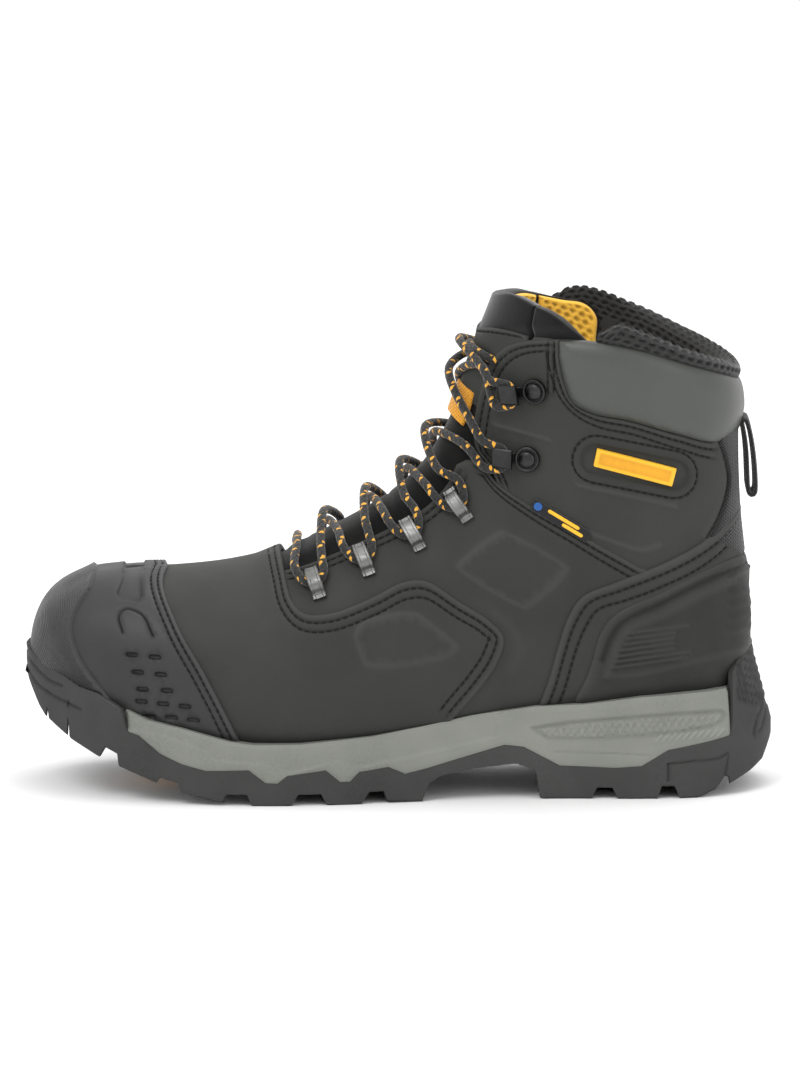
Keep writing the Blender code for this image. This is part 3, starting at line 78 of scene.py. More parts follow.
# Sections of the last: top x and z, sole x and z, share of the height where it is widest, lateral and medial
# widths, centre y, and fullness above and below. CLIPS and HOOKS hold two places of the side pattern for each
# lace loop (top, foot) and each hook (rivet, mouth).
STATIONS = (
    (-149.3, 50.0, -149.3, 50.0, 0.50, 0.0, 0.0, 8.0, 2.2, 2.2),
    (-149.8, 59.0, -147.2, 43.0, 0.50, 14.0, 14.0, 8.0, 2.2, 2.2),
    (-147.8, 68.0, -143.0, 37.5, 0.50, 23.5, 23.5, 7.5, 2.3, 2.4),
    (-142.0, 77.5, -136.0, 32.5, 0.52, 32.0, 31.5, 7.0, 2.4, 2.6),
    (-131.0, 83.8, -125.0, 28.0, 0.58, 38.5, 38.0, 6.0, 2.5, 2.8),
    (-115.0, 86.8, -109.0, 24.0, 0.62, 43.5, 43.0, 4.5, 2.5, 3.0),
    (-92.0, 88.4, -86.0, 20.5, 0.66, 48.0, 47.5, 2.5, 2.3, 3.2),
    (-68.0, 92.0, -60.0, 18.5, 0.70, 50.5, 49.5, 0.5, 2.1, 3.2),
    (-45.0, 98.5, -34.0, 18.5, 0.70, 50.5, 47.5, -0.5, 2.0, 3.2),
    (-22.0, 109.5, -8.0, 20.5, 0.71, 47.5, 43.5, -1.0, 1.95, 3.2),
    (-3.0, 121.0, 20.0, 23.5, 0.71, 42.5, 39.5, -0.5, 1.95, 3.2),
    (9.0, 131.5, 52.0, 27.0, 0.69, 38.5, 37.0, 0.0, 2.0, 3.2),
    (17.0, 142.5, 92.0, 30.0, 0.65, 35.5, 35.0, 0.0, 2.1, 3.2),
    (23.0, 154.0, 132.0, 36.0, 0.60, 34.0, 34.0, 0.0, 2.1, 3.0),
    (27.5, 166.0, 143.0, 60.0, 0.55, 33.5, 33.5, 0.0, 2.1, 2.6),
    (31.5, 178.0, 142.5, 88.0, 0.52, 34.5, 34.5, 0.0, 2.1, 2.4),
    (35.5, 189.0, 139.5, 118.0, 0.50, 37.0, 37.0, 0.0, 2.1, 2.3),
    (39.5, 199.0, 138.5, 147.0, 0.50, 40.0, 40.0, 0.0, 2.1, 2.2),
    (44.0, 211.0, 139.5, 175.0, 0.50, 42.5, 42.5, 0.0, 2.1, 2.2),
    (48.5, 223.0, 140.5, 187.0, 0.50, 43.5, 43.5, 0.0, 2.1, 2.2),
)
VAMP_EDGE = ((-50, 100), (-47, 86), (-44, 75), (-39, 70), (-28, 70), (-10, 77), (2, 83), (11, 83.5), (25, 75),
             (37, 67.5), (43.5, 60), (41, 50), (34, 39.5), (22, 26))
THROAT_EDGE = ((-58, 86), (-38, 91), (-18, 99.5), (-4, 106), (10, 114), (19, 123), (24, 132))
ANKLE_FRONT = ((42, 119), (38, 130), (32, 138), (30.5, 144), (31, 152), (34, 165), (38, 175), (43, 180),
               (50, 182.5), (66, 183))
ANKLE_SEAM = ((24, 132), (29, 134), (35, 131), (41, 124), (54, 115), (70, 106), (82, 99), (100, 89))
HEEL_EDGE = ((58, 31), (62, 42), (66, 56), (70, 68), (76, 77), (90, 83), (110, 91), (125, 99), (136, 108),
             (142, 116))
COUNTER_EDGE = ((73, 34.2), (79, 47), (83.5, 62), (90, 70), (110, 79.5), (130, 89.5), (146, 96))
COLLAR_TOP = ((66, 183), (80, 182), (100, 178.5), (120, 172.8), (141, 168))
COLLAR_LOW = ((66, 176), (68, 166), (72, 157), (80, 152.5), (95, 149.5), (115, 144), (132, 141), (143, 147))
STRIP_EDGE = ((128, 101), (133, 110), (137, 125), (135, 136), (133, 141))
BUMPER_EDGE = ((-125, 89), (-127, 80), (-134, 65), (-131, 53), (-122, 40), (-115, 30.5))
OVERLAY_EDGE = ((-96, 91), (-98, 82), (-91, 64), (-80, 45), (-70, 26), (-65, 16))
SOLE_LATERAL = ((-156, 8), (-154.5, -6), (-149, -19), (-140, -30), (-125, -40.5), (-105, -49), (-80, -54.6),
                (-60, -56), (-40, -55.5), (-15, -52), (10, -46.5), (40, -42), (70, -40.3), (100, -40.8),
                (120, -39.3), (137, -33), (149, -21), (155, -8), (156, 0))
SOLE_MEDIAL = ((-156, 8), (-154.5, 21), (-149, 30), (-140, 38), (-125, 45.5), (-105, 51.5), (-80, 55.2),
               (-60, 56), (-40, 54), (-15, 49), (10, 43.5), (40, 39.8), (70, 39), (100, 40.2), (120, 39),
               (137, 33), (149, 21), (155, 8), (156, 0))
WAIST_HEIGHT = ((-156, 50), (-150, 44), (-144, 39), (-128, 32), (-114.5, 30), (-108, 28.3), (-99, 21),
                (-90, 17), (-80, 14.5), (-62, 15), (-55, 9.6), (-50, 9.4), (-46, 12.6), (-30, 14.7),
                (-24, 9.6), (-20, 9.6), (-16, 13.6), (-4, 15.2), (3, 12), (12, 14), (30, 19), (44, 23),
                (52, 22), (67, 14), (90, 13), (101, 13.8), (112, 20.5), (130, 23.6), (142, 26), (156, 30))
FEATHER_HEIGHT = ((-156, 57.5), (-147, 54.5), (-140, 50.5), (-133, 46.5), (-125, 44.5), (-114.5, 38.6),
                  (-105, 34.5), (-90, 31.5), (-70, 26.5), (-60, 25.2), (-40, 25.4), (-10, 28), (10, 31.2),
                  (30, 35.2), (57, 38.8), (77, 39.6), (100, 42.6), (120, 44), (138.5, 44.6), (142, 51),
                  (148, 57), (156, 58))
CLIPS = (((-36.5, 89), (-32, 75)), ((-17, 99), (-11.5, 84.5)), ((2.5, 109), (9.5, 96)),
         ((21, 121), (29, 108.5)))
HOOKS = (((53.5, 134), (41.5, 135)), ((56.5, 162), (44.5, 161.5)))


def ease(value):
    """A smooth ramp from 0 at 0 to 1 at 1."""
    value = np.clip(value, 0.0, 1.0)
    return value * value * (3 - 2 * value)


def smooth_line(points, spacing):
    """A smooth line through the points, as evenly spaced points that keep both ends."""
    points = np.array(points, float)
    padded = np.vstack((2 * points[0] - points[1], points, 2 * points[-1] - points[-2]))
    pieces = []
    for k in range(len(points) - 1):
        p0, p1, p2, p3 = padded[k : k + 4]
        near, mid, far = (max(np.linalg.norm(b - a), 1e-6) ** 0.5 for a, b in ((p0, p1), (p1, p2), (p2, p3)))
        m1 = (p2 - p1) + mid * ((p1 - p0) / near - (p2 - p0) / (near + mid))
        m2 = (p2 - p1) + mid * ((p3 - p2) / far - (p3 - p1) / (mid + far))
        t = np.linspace(0, 1, 24, endpoint=False)[:, None]
        pieces.append((2 * t**3 - 3 * t**2 + 1) * p1 + (t**3 - 2 * t**2 + t) * m1
                      + (3 * t**2 - 2 * t**3) * p2 + (t**3 - t**2) * m2)
    line = np.vstack(pieces + [points[-1:]])
    return spaced(line, spacing)


def spaced(line, spacing):
    """The line again with points about as far apart as the spacing."""
    length = np.concatenate(([0.0], np.cumsum(np.linalg.norm(np.diff(line, axis=0), axis=1))))
    count = max(int(round(length[-1] / spacing)), 1)
    want = np.linspace(0, length[-1], count + 1)
    return np.column_stack([np.interp(want, length, line[:, k]) for k in range(line.shape[1])])


PATTERN_LIFT = 2.0
OUTSIDE = 300.0


class Last:
    """The surface that the upper is built on, as a fine grid of points and normals."""

    ROWS = 420
    HALF_COLUMNS = 90

    def __init__(self):
        sections = np.array([self.section(station) for station in STATIONS])
        gaps = np.linalg.norm(np.diff(sections, axis=0), axis=2).mean(axis=1)
        self.knots = np.concatenate(([0.0], np.cumsum(gaps)))
        self.length = self.knots[-1]
        rises = np.diff(sections, axis=0) / gaps[:, None, None]
        slopes = np.zeros_like(sections)
        for k in range(1, len(sections) - 1):
            slopes[k] = (rises[k] * gaps[k - 1] + rises[k - 1] * gaps[k]) / (gaps[k - 1] + gaps[k])
        across = np.roll(sections[1][:-1], self.HALF_COLUMNS, axis=0)
        slopes[0] = (sections[1] - np.vstack((across, across[:1]))) / (2 * gaps[0])
        slopes[-1] = rises[-1]
        u = np.linspace(0, self.length, self.ROWS)
        k = np.clip(np.searchsorted(self.knots, u, side="right") - 1, 0, len(gaps) - 1)
        h = gaps[k][:, None, None]
        f = (u - self.knots[k])[:, None, None] / h
        self.points = ((2 * f**3 - 3 * f**2 + 1) * sections[k] + (f**3 - 2 * f**2 + f) * h * slopes[k]
                       + (3 * f**2 - 2 * f**3) * sections[k + 1] + (f**3 - f**2) * h * slopes[k + 1])
        self.normals = self.find_normals()
        self.side_tree = self.tree(PATTERN_LIFT)

    def section(self, station):
        """One section's points, from the sole line over the medial side, the top and the lateral side."""
        top_x, top_z, sole_x, sole_z, middle, lateral, medial, centre, top_full, sole_full = station
        top = np.array((top_x, top_z))
        sole = np.array((sole_x, sole_z))
        mid = top + (sole - top) * middle
        angle = np.linspace(0.0, math.pi, 361)
        along, out = np.cos(angle), np.sin(angle)
        power = 2 / np.where(along > 0, top_full, sole_full)
        reach = np.abs(along)[:, None] ** power[:, None]
        flat = mid + np.where((along > 0)[:, None], reach * (top - mid), reach * (sole - mid))
        halves = []
        for width in (-lateral, medial):
            line = np.column_stack((flat[:, 0], centre + width * np.abs(out) ** power, flat[:, 1]))
            if lateral == 0.0:
                halves.append(np.repeat(line[:1], self.HALF_COLUMNS + 1, axis=0))
                continue
            length = np.concatenate(([0.0], np.cumsum(np.linalg.norm(np.diff(line, axis=0), axis=1))))
            want = np.linspace(0, length[-1], self.HALF_COLUMNS + 1)
            halves.append(np.column_stack([np.interp(want, length, line[:, k]) for k in range(3)]))
        return np.concatenate((halves[1][::-1], halves[0][1:]))

    def find_normals(self):
        along = np.gradient(self.points, axis=0)
        ring = np.concatenate((self.points[:, -2:-1], self.points, self.points[:, 1:2]), axis=1)
        normals = np.cross(ring[:, 2:] - ring[:, :-2], along)
        normals /= np.maximum(np.linalg.norm(normals, axis=2, keepdims=True), 1e-9)
        normals[0] = (-1.0, 0.0, 0.0)
        return normals

    def tree(self, height):
        points = (self.points + height * self.normals).reshape(-1, 3)
        wide = self.points.shape[1]
        corners = (row * wide + column for row in range(self.ROWS - 1) for column in range(wide - 1))
        faces = [(a, a + 1, a + wide + 1, a + wide) for a in corners]
        return BVHTree.FromPolygons(points.tolist(), faces)

    def place(self, u, w, height=0.0):
        """World points, in millimetres, at (u, w) and at a height off the surface."""
        u, w = np.atleast_1d(np.asarray(u, float)), np.atleast_1d(np.asarray(w, float))
        w = (w + HALF_GIRTH) % (2 * HALF_GIRTH) - HALF_GIRTH
        row = np.clip(u / self.length * (self.ROWS - 1), 0, self.ROWS - 1 - 1e-6)
        column = np.clip((w / HALF_GIRTH + 1) * self.HALF_COLUMNS, 0, 2 * self.HALF_COLUMNS - 1e-6)
        i, j = row.astype(int), column.astype(int)
        a, b = (row - i)[:, None], (column - j)[:, None]

        def blend(grid):
            return ((1 - a) * ((1 - b) * grid[i, j] + b * grid[i, j + 1])
                    + a * ((1 - b) * grid[i + 1, j] + b * grid[i + 1, j + 1]))

        normal = blend(self.normals)
        normal /= np.maximum(np.linalg.norm(normal, axis=1, keepdims=True), 1e-9)
        return blend(self.points) + np.reshape(height, (-1, 1)) * normal

    def normal(self, u, w):
        return (self.place(u, w, 1.0) - self.place(u, w, 0.0))[0]

    def from_pattern(self, points):
        """(u, w) on the lateral side for points (x, height) of the side pattern."""
        rise = Vector((0, math.sin(PATTERN_LEAN), math.cos(PATTERN_LEAN)))
        into = Vector((0, math.cos(PATTERN_LEAN), -math.sin(PATTERN_LEAN)))
        wide = self.points.shape[1]
        found = []
        for x, height in points:
            start = Vector((x, 0, 0)) + rise * height - into * OUTSIDE
            hit, _, index, _ = self.side_tree.ray_cast(start, into)
            if hit is None:
                found.append(self.on_outline(x, height))
                continue
            found.append(self.refine(hit, *divmod(index, wide - 1)))
        return np.array(found)

    def refine(self, hit, row, column):
        """The (u, w) of a point on one face of the raised surface."""
        cell = (slice(row, row + 2), slice(column, column + 2))
        lifted = self.points[cell] + PATTERN_LIFT * self.normals[cell]
        origin, across, along = lifted[0, 0], lifted[0, 1] - lifted[0, 0], lifted[1, 0] - lifted[0, 0]
        sides = np.column_stack((across, along))
        b, a = np.clip(np.linalg.lstsq(sides, np.array(hit) - origin, rcond=None)[0], 0, 1)
        u = (row + a) / (self.ROWS - 1) * self.length
        return u, ((column + b) / self.HALF_COLUMNS - 1) * HALF_GIRTH

    def on_outline(self, x, height):
        """The place on the top line or the heel line that is nearest to a pattern point off the surface."""
        best = None
        for column, w in ((self.HALF_COLUMNS, 0.0), (2 * self.HALF_COLUMNS, HALF_GIRTH)):
            line = self.points[:, column] + PATTERN_LIFT * self.normals[:, column]
            level = line[:, 1] * math.sin(PATTERN_LEAN) + line[:, 2] * math.cos(PATTERN_LEAN)
            far = np.hypot(line[:, 0] - x, level - height)
            row = int(np.argmin(far))
            if best is None or far[row] < best[0]:
                best = (far[row], row / (self.ROWS - 1) * self.length, w)
        return best[1], best[2]

    def on_top(self, x):
        """u on the top line at this x."""
        line = self.points[:, self.HALF_COLUMNS, 0]
        start = int(np.argmin(line))
        return float(np.interp(x, line[start:], np.linspace(0, self.length, self.ROWS)[start:]))


LAST = Last()


def mirrored(line):
    """The same edge on the medial side, for pieces that cross the top line."""
    return np.column_stack((line[:, 0], -line[:, 1]))


def round_heel(line):
    """The same edge on the medial side, for pieces that cross the heel line."""
    return np.column_stack((line[:, 0], 2 * HALF_GIRTH - line[:, 1]))


def join(*lines):
    """One outline from lines and points, without repeated points."""
    points = np.vstack([np.atleast_2d(np.asarray(line, float)) for line in lines])
    keep = [points[0]]
    for point in points[1:]:
        if np.linalg.norm(point - keep[-1]) > 0.3:
            keep.append(point)
    if np.linalg.norm(keep[0] - keep[-1]) < 0.3:
        keep.pop()
    return np.array(keep)


def area(outline):
    x, y = outline[:, 0], outline[:, 1]
    return 0.5 * float(np.sum(x * np.roll(y, -1) - np.roll(x, -1) * y))


def widened(outline, amount):
    """The outline moved outward by an amount, or inward where it is negative."""
    sign = 1.0 if area(outline) > 0 else -1.0
    back = outline - np.roll(outline, 1, axis=0)
    ahead = np.roll(outline, -1, axis=0) - outline
    turned = []
    for side in (back, ahead):
        side = side / np.maximum(np.linalg.norm(side, axis=1, keepdims=True), 1e-9)
        turned.append(np.column_stack((side[:, 1], -side[:, 0])) * sign)
    mean = turned[0] + turned[1]
    mean /= np.maximum(np.linalg.norm(mean, axis=1, keepdims=True), 1e-9)
    lean = np.maximum(np.sum(mean * turned[0], axis=1, keepdims=True), 0.5)
    return outline + amount * mean / lean


def distance(points, line, closed=True):
    """How far each point is from a line; where the line is closed, the value is below zero inside it."""
    a = line if closed else line[:-1]
    b = np.roll(line, -1, axis=0) if closed else line[1:]
    run = b - a
    size = np.maximum(np.sum(run * run, axis=1), 1e-9)
    rise = np.where(np.abs(run[:, 1]) < 1e-12, 1e-12, run[:, 1])
    found = []
    for start in range(0, len(points), 3000):
        some = points[start : start + 3000]
        offset = some[:, None, :] - a[None]
        t = np.clip(np.sum(offset * run, axis=2) / size, 0, 1)
        far = np.linalg.norm(offset - t[..., None] * run[None], axis=2).min(axis=1)
        if closed:
            straddle = (a[None, :, 1] > some[:, None, 1]) != (b[None, :, 1] > some[:, None, 1])
            cross = a[None, :, 0] + (some[:, None, 1] - a[None, :, 1]) * run[None, :, 0] / rise[None]
            inside = (straddle & (some[:, None, 0] < cross)).sum(axis=1) % 2 == 1
            far = np.where(inside, -far, far)
        found.append(far)
    return np.concatenate(found) if found else np.zeros(0)


def drawn(points, spacing=1.2):
    """A line of the side pattern, as (u, w) points on the last."""
    line = LAST.from_pattern(smooth_line(points, spacing))
    line[:, 1] = np.clip(line[:, 1], 0.0, HALF_GIRTH)
    on_top = np.flatnonzero(line[:, 1] == 0.0)
    if len(on_top) and len(on_top) < len(line):
        line = line[on_top[-1] :] if on_top[0] == 0 else line[: on_top[0] + 1]
    return line


def ring(points, spacing=1.2, share=0.1):
    """A closed outline with straight sides and eased corners on the side pattern, as (u, w)."""
    points = np.array(points, float)
    for cut in (share, 0.3, 0.3):
        after = np.roll(points, -1, axis=0)
        points = np.stack(((1 - cut) * points + cut * after, cut * points + (1 - cut) * after),
                          axis=1).reshape(-1, 2)
    line = spaced(np.vstack((points, points[:1])), spacing)[:-1]
    return LAST.from_pattern(line)


def shifted(line, amount):
    """An open line moved sideways."""
    run = np.gradient(line, axis=0)
    run /= np.maximum(np.linalg.norm(run, axis=1, keepdims=True), 1e-9)
    return line + amount * np.column_stack((run[:, 1], -run[:, 0]))


def beside(line, amount, outline):
    """The part of a line's parallel that lies inside an outline."""
    best = None
    for way in (amount, -amount):
        moved = shifted(line, way)
        inside = distance(moved, outline) < -0.75 * abs(amount)
        if best is None or inside.sum() > best[1].sum():
            best = (moved, inside)
    return best[0][best[1]]


class Groove:
    """A line pressed into a surface, or raised where the amount is positive. A tint below 0 paints shade into
    it, above 0 pales it as wear.
    """

    def __init__(self, line, width=0.8, amount=-0.5, tint=-0.7):
        self.line, self.width, self.amount, self.tint = np.asarray(line, float), width, amount, tint

    def tracks(self):
        return [shifted(self.line, k * self.width) for k in (-1, -0.5, 0, 0.5, 1)]

    def act(self, points):
        near = 1 - ease(distance(points, self.line, False) / self.width)
        return self.amount * near, self.tint * near

    def turned(self, way):
        """The same mark along a line moved by mirrored or round_heel."""
        return type(self)(way(self.line), self.width, self.amount, self.tint)


class Pad(Groove):
    """An outlined area raised off a surface, or sunk where the amount is negative; its tint on the outline is
    painted shade below 0 and wear above 0.
    """

    def tracks(self):
        return [widened(self.line, k * self.width) for k in (-0.5, -0.17, 0.17, 0.5)]

    def act(self, points):
        far = distance(points, self.line)
        level = ease(0.5 - far / self.width)
        return self.amount * level, self.tint * (1 - ease(np.abs(far + 0.5) / 1.8))


def both(marks, way=mirrored):
    return list(marks) + [mark.turned(way) for mark in marks]


def applied(marks, points, tint):
    """The marks' lift at each point, and the tint where theirs is the stronger: wear above 0, painted shade
    below 0.
    """
    lift = np.zeros(len(points))
    for mark in marks:
        raised, mark_wear_and_shade = mark.act(points)
        lift = lift + raised
        tint = np.where(np.abs(mark_wear_and_shade) > np.abs(tint), mark_wear_and_shade, tint)
    return lift, tint


def folded(points):
    """The points with those of the medial side turned over to the lateral side."""
    return np.column_stack((points[:, 0], np.abs(points[:, 1])))


WELD = 0.004
SLIVER = 0.002
BESIDE_EDGE = 1.4
THINNEST = 0.15


def dense(outline, step):
    """A closed outline with no side longer than the step."""
    found = []
    for a, b in zip(outline, np.roll(outline, -1, axis=0)):
        count = max(int(math.ceil(np.linalg.norm(b - a) / step)), 1)
        found += [a + (b - a) * k / count for k in range(count)]
    return np.array(found)


def piece(name, points, faces, look, body="boot", slot=None, replaces=(), tint=None, sharp=50.0, extra=None):
    """A closed mesh piece from points in millimetres, which rides on a body of the CAD part."""
    mesh = bpy.data.meshes.new(name)
    mesh.from_pydata((np.asarray(points) * MM).tolist(), [], faces)
    # This attribute holds pale wear above 0 and painted shade below 0.
    layers = {"wear_and_shade": tint} | (extra or {})
    for label, values in layers.items():
        if values is not None:
            mesh.attributes.new(label, "FLOAT", "POINT").data.foreach_set("value",
                                                                          np.asarray(values, np.float32))
    build = bmesh.new()
    build.from_mesh(mesh)
    bmesh.ops.remove_doubles(build, verts=build.verts, dist=WELD * MM)
    bmesh.ops.dissolve_degenerate(build, dist=SLIVER * MM, edges=build.edges)
    bmesh.ops.recalc_face_normals(build, faces=build.faces)
    build.to_mesh(mesh)
    build.free()
    mesh.shade_smooth()
    mesh.set_sharp_from_angle(angle=math.radians(sharp))
    obj = bpy.data.objects.new(name, mesh)
    bpy.context.scene.collection.objects.link(obj)
    mesh.materials.append(look)
    if body:
        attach(obj, body)
    if replaces:
        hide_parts(*replaces)
    return obj


def rolled(inside, radius):
    """How far a surface drops at this distance inside a rounded edge."""
    if radius <= 0:
        return 0.0 * inside
    share = 1 - np.clip(inside / radius, 0, 1)
    return radius * (1 - np.sqrt(np.clip(1 - share * share, 0, 1)))


def value(rule, points):
    return rule(points) if callable(rule) else np.full(len(points), float(rule))


def surface(outline, marks, step, radius):
    """Points in (u, w) and triangles that fill an outline, and its edge; they crowd at edges and marks."""
    edge = dense(outline, BESIDE_EDGE)
    low, high = edge.min(axis=0), edge.max(axis=0)
    rows = np.arange(low[0], high[0] + step, step * 0.866)
    columns = np.arange(low[1], high[1] + step, step)
    grid = np.array([(u, w + (0.5 * step if k % 2 else 0)) for k, u in enumerate(rows) for w in columns])

    def free(points, gap):
        return points[distance(points, edge) < -gap] if len(points) else points

    tracks = []
    for inset in (0.35 * radius, radius) if radius > 0 else ():
        tracks.append(free(widened(edge, -inset), 0.8 * inset))
    for mark in marks:
        tracks += [free(track, 0.5) for track in mark.tracks()]
    points = np.vstack([edge] + [track for track in tracks if len(track)])
    tree = KDTree(len(points))
    for k, point in enumerate(points):
        tree.insert((*point, 0.0), k)
    tree.balance()
    inner = [p for p in free(grid, max(radius, 0.4)) if tree.find((*p, 0.0))[2] > 0.45 * step]
    points = np.vstack((points, inner)) if inner else points
    order = list(range(len(edge)))
    loop = order if area(edge) > 0 else order[::-1]
    result = delaunay_2d_cdt([Vector(p) for p in points], [], [loop], 0, 1e-4, True)
    flat = np.array([tuple(v) for v in result[0]])
    faces = [tuple(face) for face, inside in zip(result[2], result[5]) if inside]
    used = sorted({corner for face in faces for corner in face})
    index = {corner: k for k, corner in enumerate(used)}
    return flat[used], [tuple(index[c] for c in face) for face in faces], edge


def skin(name, outline, low, high, look, marks=(), step=2.0, radius=0.9, edge_tint=0.6, **more):
    """A shell piece between two heights off the last, with a rounded edge and pressed or raised marks."""
    flat, faces, edge = surface(outline, marks, step, radius)
    inside = np.abs(distance(flat, edge))
    # A positive edge_tint pales the edge as wear; a negative one darkens it as painted shade.
    lift, tint = applied(marks, flat, edge_tint * (1 - ease(inside / 2.2)))
    top = value(high, flat) - rolled(inside, radius) + lift
    bottom = np.minimum(value(low, flat), top - THINNEST)
    outer = LAST.place(flat[:, 0], flat[:, 1], top)
    inner = LAST.place(flat[:, 0], flat[:, 1], bottom)
    return closed_shell(name, outer, inner, faces, look, np.clip(tint, -1, 1), **more)


def closed_shell(name, outer, inner, faces, look, tint, **more):
    """A closed piece from two matching sheets of points."""
    count = len(outer)
    solid = [tuple(c + count for c in face) for face in faces] + [face[::-1] for face in faces]
    sides = set()
    for face in faces:
        sides.update(zip(face, face[1:] + face[:1]))
    solid += [(a, b, b + count, a + count) for a, b in sides if (b, a) not in sides]
    return piece(name, np.vstack((inner, outer)), solid, look, tint=np.concatenate((tint, tint)), **more)


def unit(vector):
    return vector / max(float(np.linalg.norm(vector)), 1e-9)


STITCH_PITCH, STITCH_LONG, STITCH_THICK, STITCH_SINK = 3.1, 2.3, 0.36, 0.28
STITCH_SIDES = 6


def stitch_row(name, rows, **more):
    """Rows of separate stitches, each a small capsule; a row is a (u, w) line and its face's height rule."""
    belt = np.radians((-62, -30, 0, 30, 62))
    shape = [(-1.0, 0.0)] + [(math.sin(a), math.cos(a)) for a in belt] + [(1.0, 0.0)]
    last = 1 + STITCH_SIDES * len(belt)
    points, faces = [], []
    for line, high in rows:
        if len(line) < 2:
            continue
        height = high(line) - STITCH_SINK
        path = LAST.place(line[:, 0], line[:, 1], height)
        out = path - LAST.place(line[:, 0], line[:, 1], height - 1.0)
        length = np.concatenate(([0.0], np.cumsum(np.linalg.norm(np.diff(path, axis=0), axis=1))))
        for k in range(int(length[-1] / STITCH_PITCH)):
            middle = (k + 0.5) * STITCH_PITCH
            a, b, c = (np.array([np.interp(s, length, path[:, i]) for i in range(3)])
                       for s in (middle - STITCH_LONG / 2, middle, middle + STITCH_LONG / 2))
            normal = unit(np.array([np.interp(middle, length, out[:, i]) for i in range(3)]))
            along = (c - a) / 2
            side = unit(np.cross(normal, along))
            start = len(points)
            for t, r in shape:
                centre = b + along * t
                if r == 0.0:
                    points.append(centre - normal * 0.25)
                    continue
                centre = centre - normal * 0.2 * (1 - r)
                for j in range(STITCH_SIDES):
                    angle = 2 * math.pi / STITCH_SIDES * j
                    way = side * math.cos(angle) + normal * math.sin(angle)
                    points.append(centre + STITCH_THICK * (0.6 + 0.4 * r) * way)
            for j in range(STITCH_SIDES):
                after = (j + 1) % STITCH_SIDES
                for r in range(1, last - STITCH_SIDES, STITCH_SIDES):
                    p, q = start + r + j, start + r + after
                    faces.append((p, q, q + STITCH_SIDES, p + STITCH_SIDES))
                faces.append((start, start + 1 + after, start + 1 + j))
                faces.append((start + last, start + last - STITCH_SIDES + j,
                              start + last - STITCH_SIDES + after))
    return piece(name, points, faces, THREAD, sharp=80, slot="nubuck_leather", **more)


def sole_edges(row_x):
    """Lateral and medial edge points of the sole and their inward directions at each row."""
    found = []
    for line, turn in ((SOLE_LATERAL_FINE, 1.0), (SOLE_MEDIAL_FINE, -1.0)):
        y = np.interp(row_x, line[:, 0], line[:, 1])
        run = np.gradient(line, axis=0)
        run /= np.linalg.norm(run, axis=1, keepdims=True)
        inward = np.column_stack((-run[:, 1], run[:, 0])) * turn
        inward = np.column_stack([np.interp(row_x, line[:, 0], inward[:, k]) for k in range(2)])
        inward[0] = (1.0, 0.0) if row_x[0] < -155.9 else inward[0]
        inward[-1] = (-1.0, 0.0)
        found.append((np.column_stack((row_x, y)), inward))
    return found


# ---------------------------------------------------------------- materials

def shade(colour, factor, plus=0.0):
    return tuple(min(1.0, c * factor + plus) for c in colour)


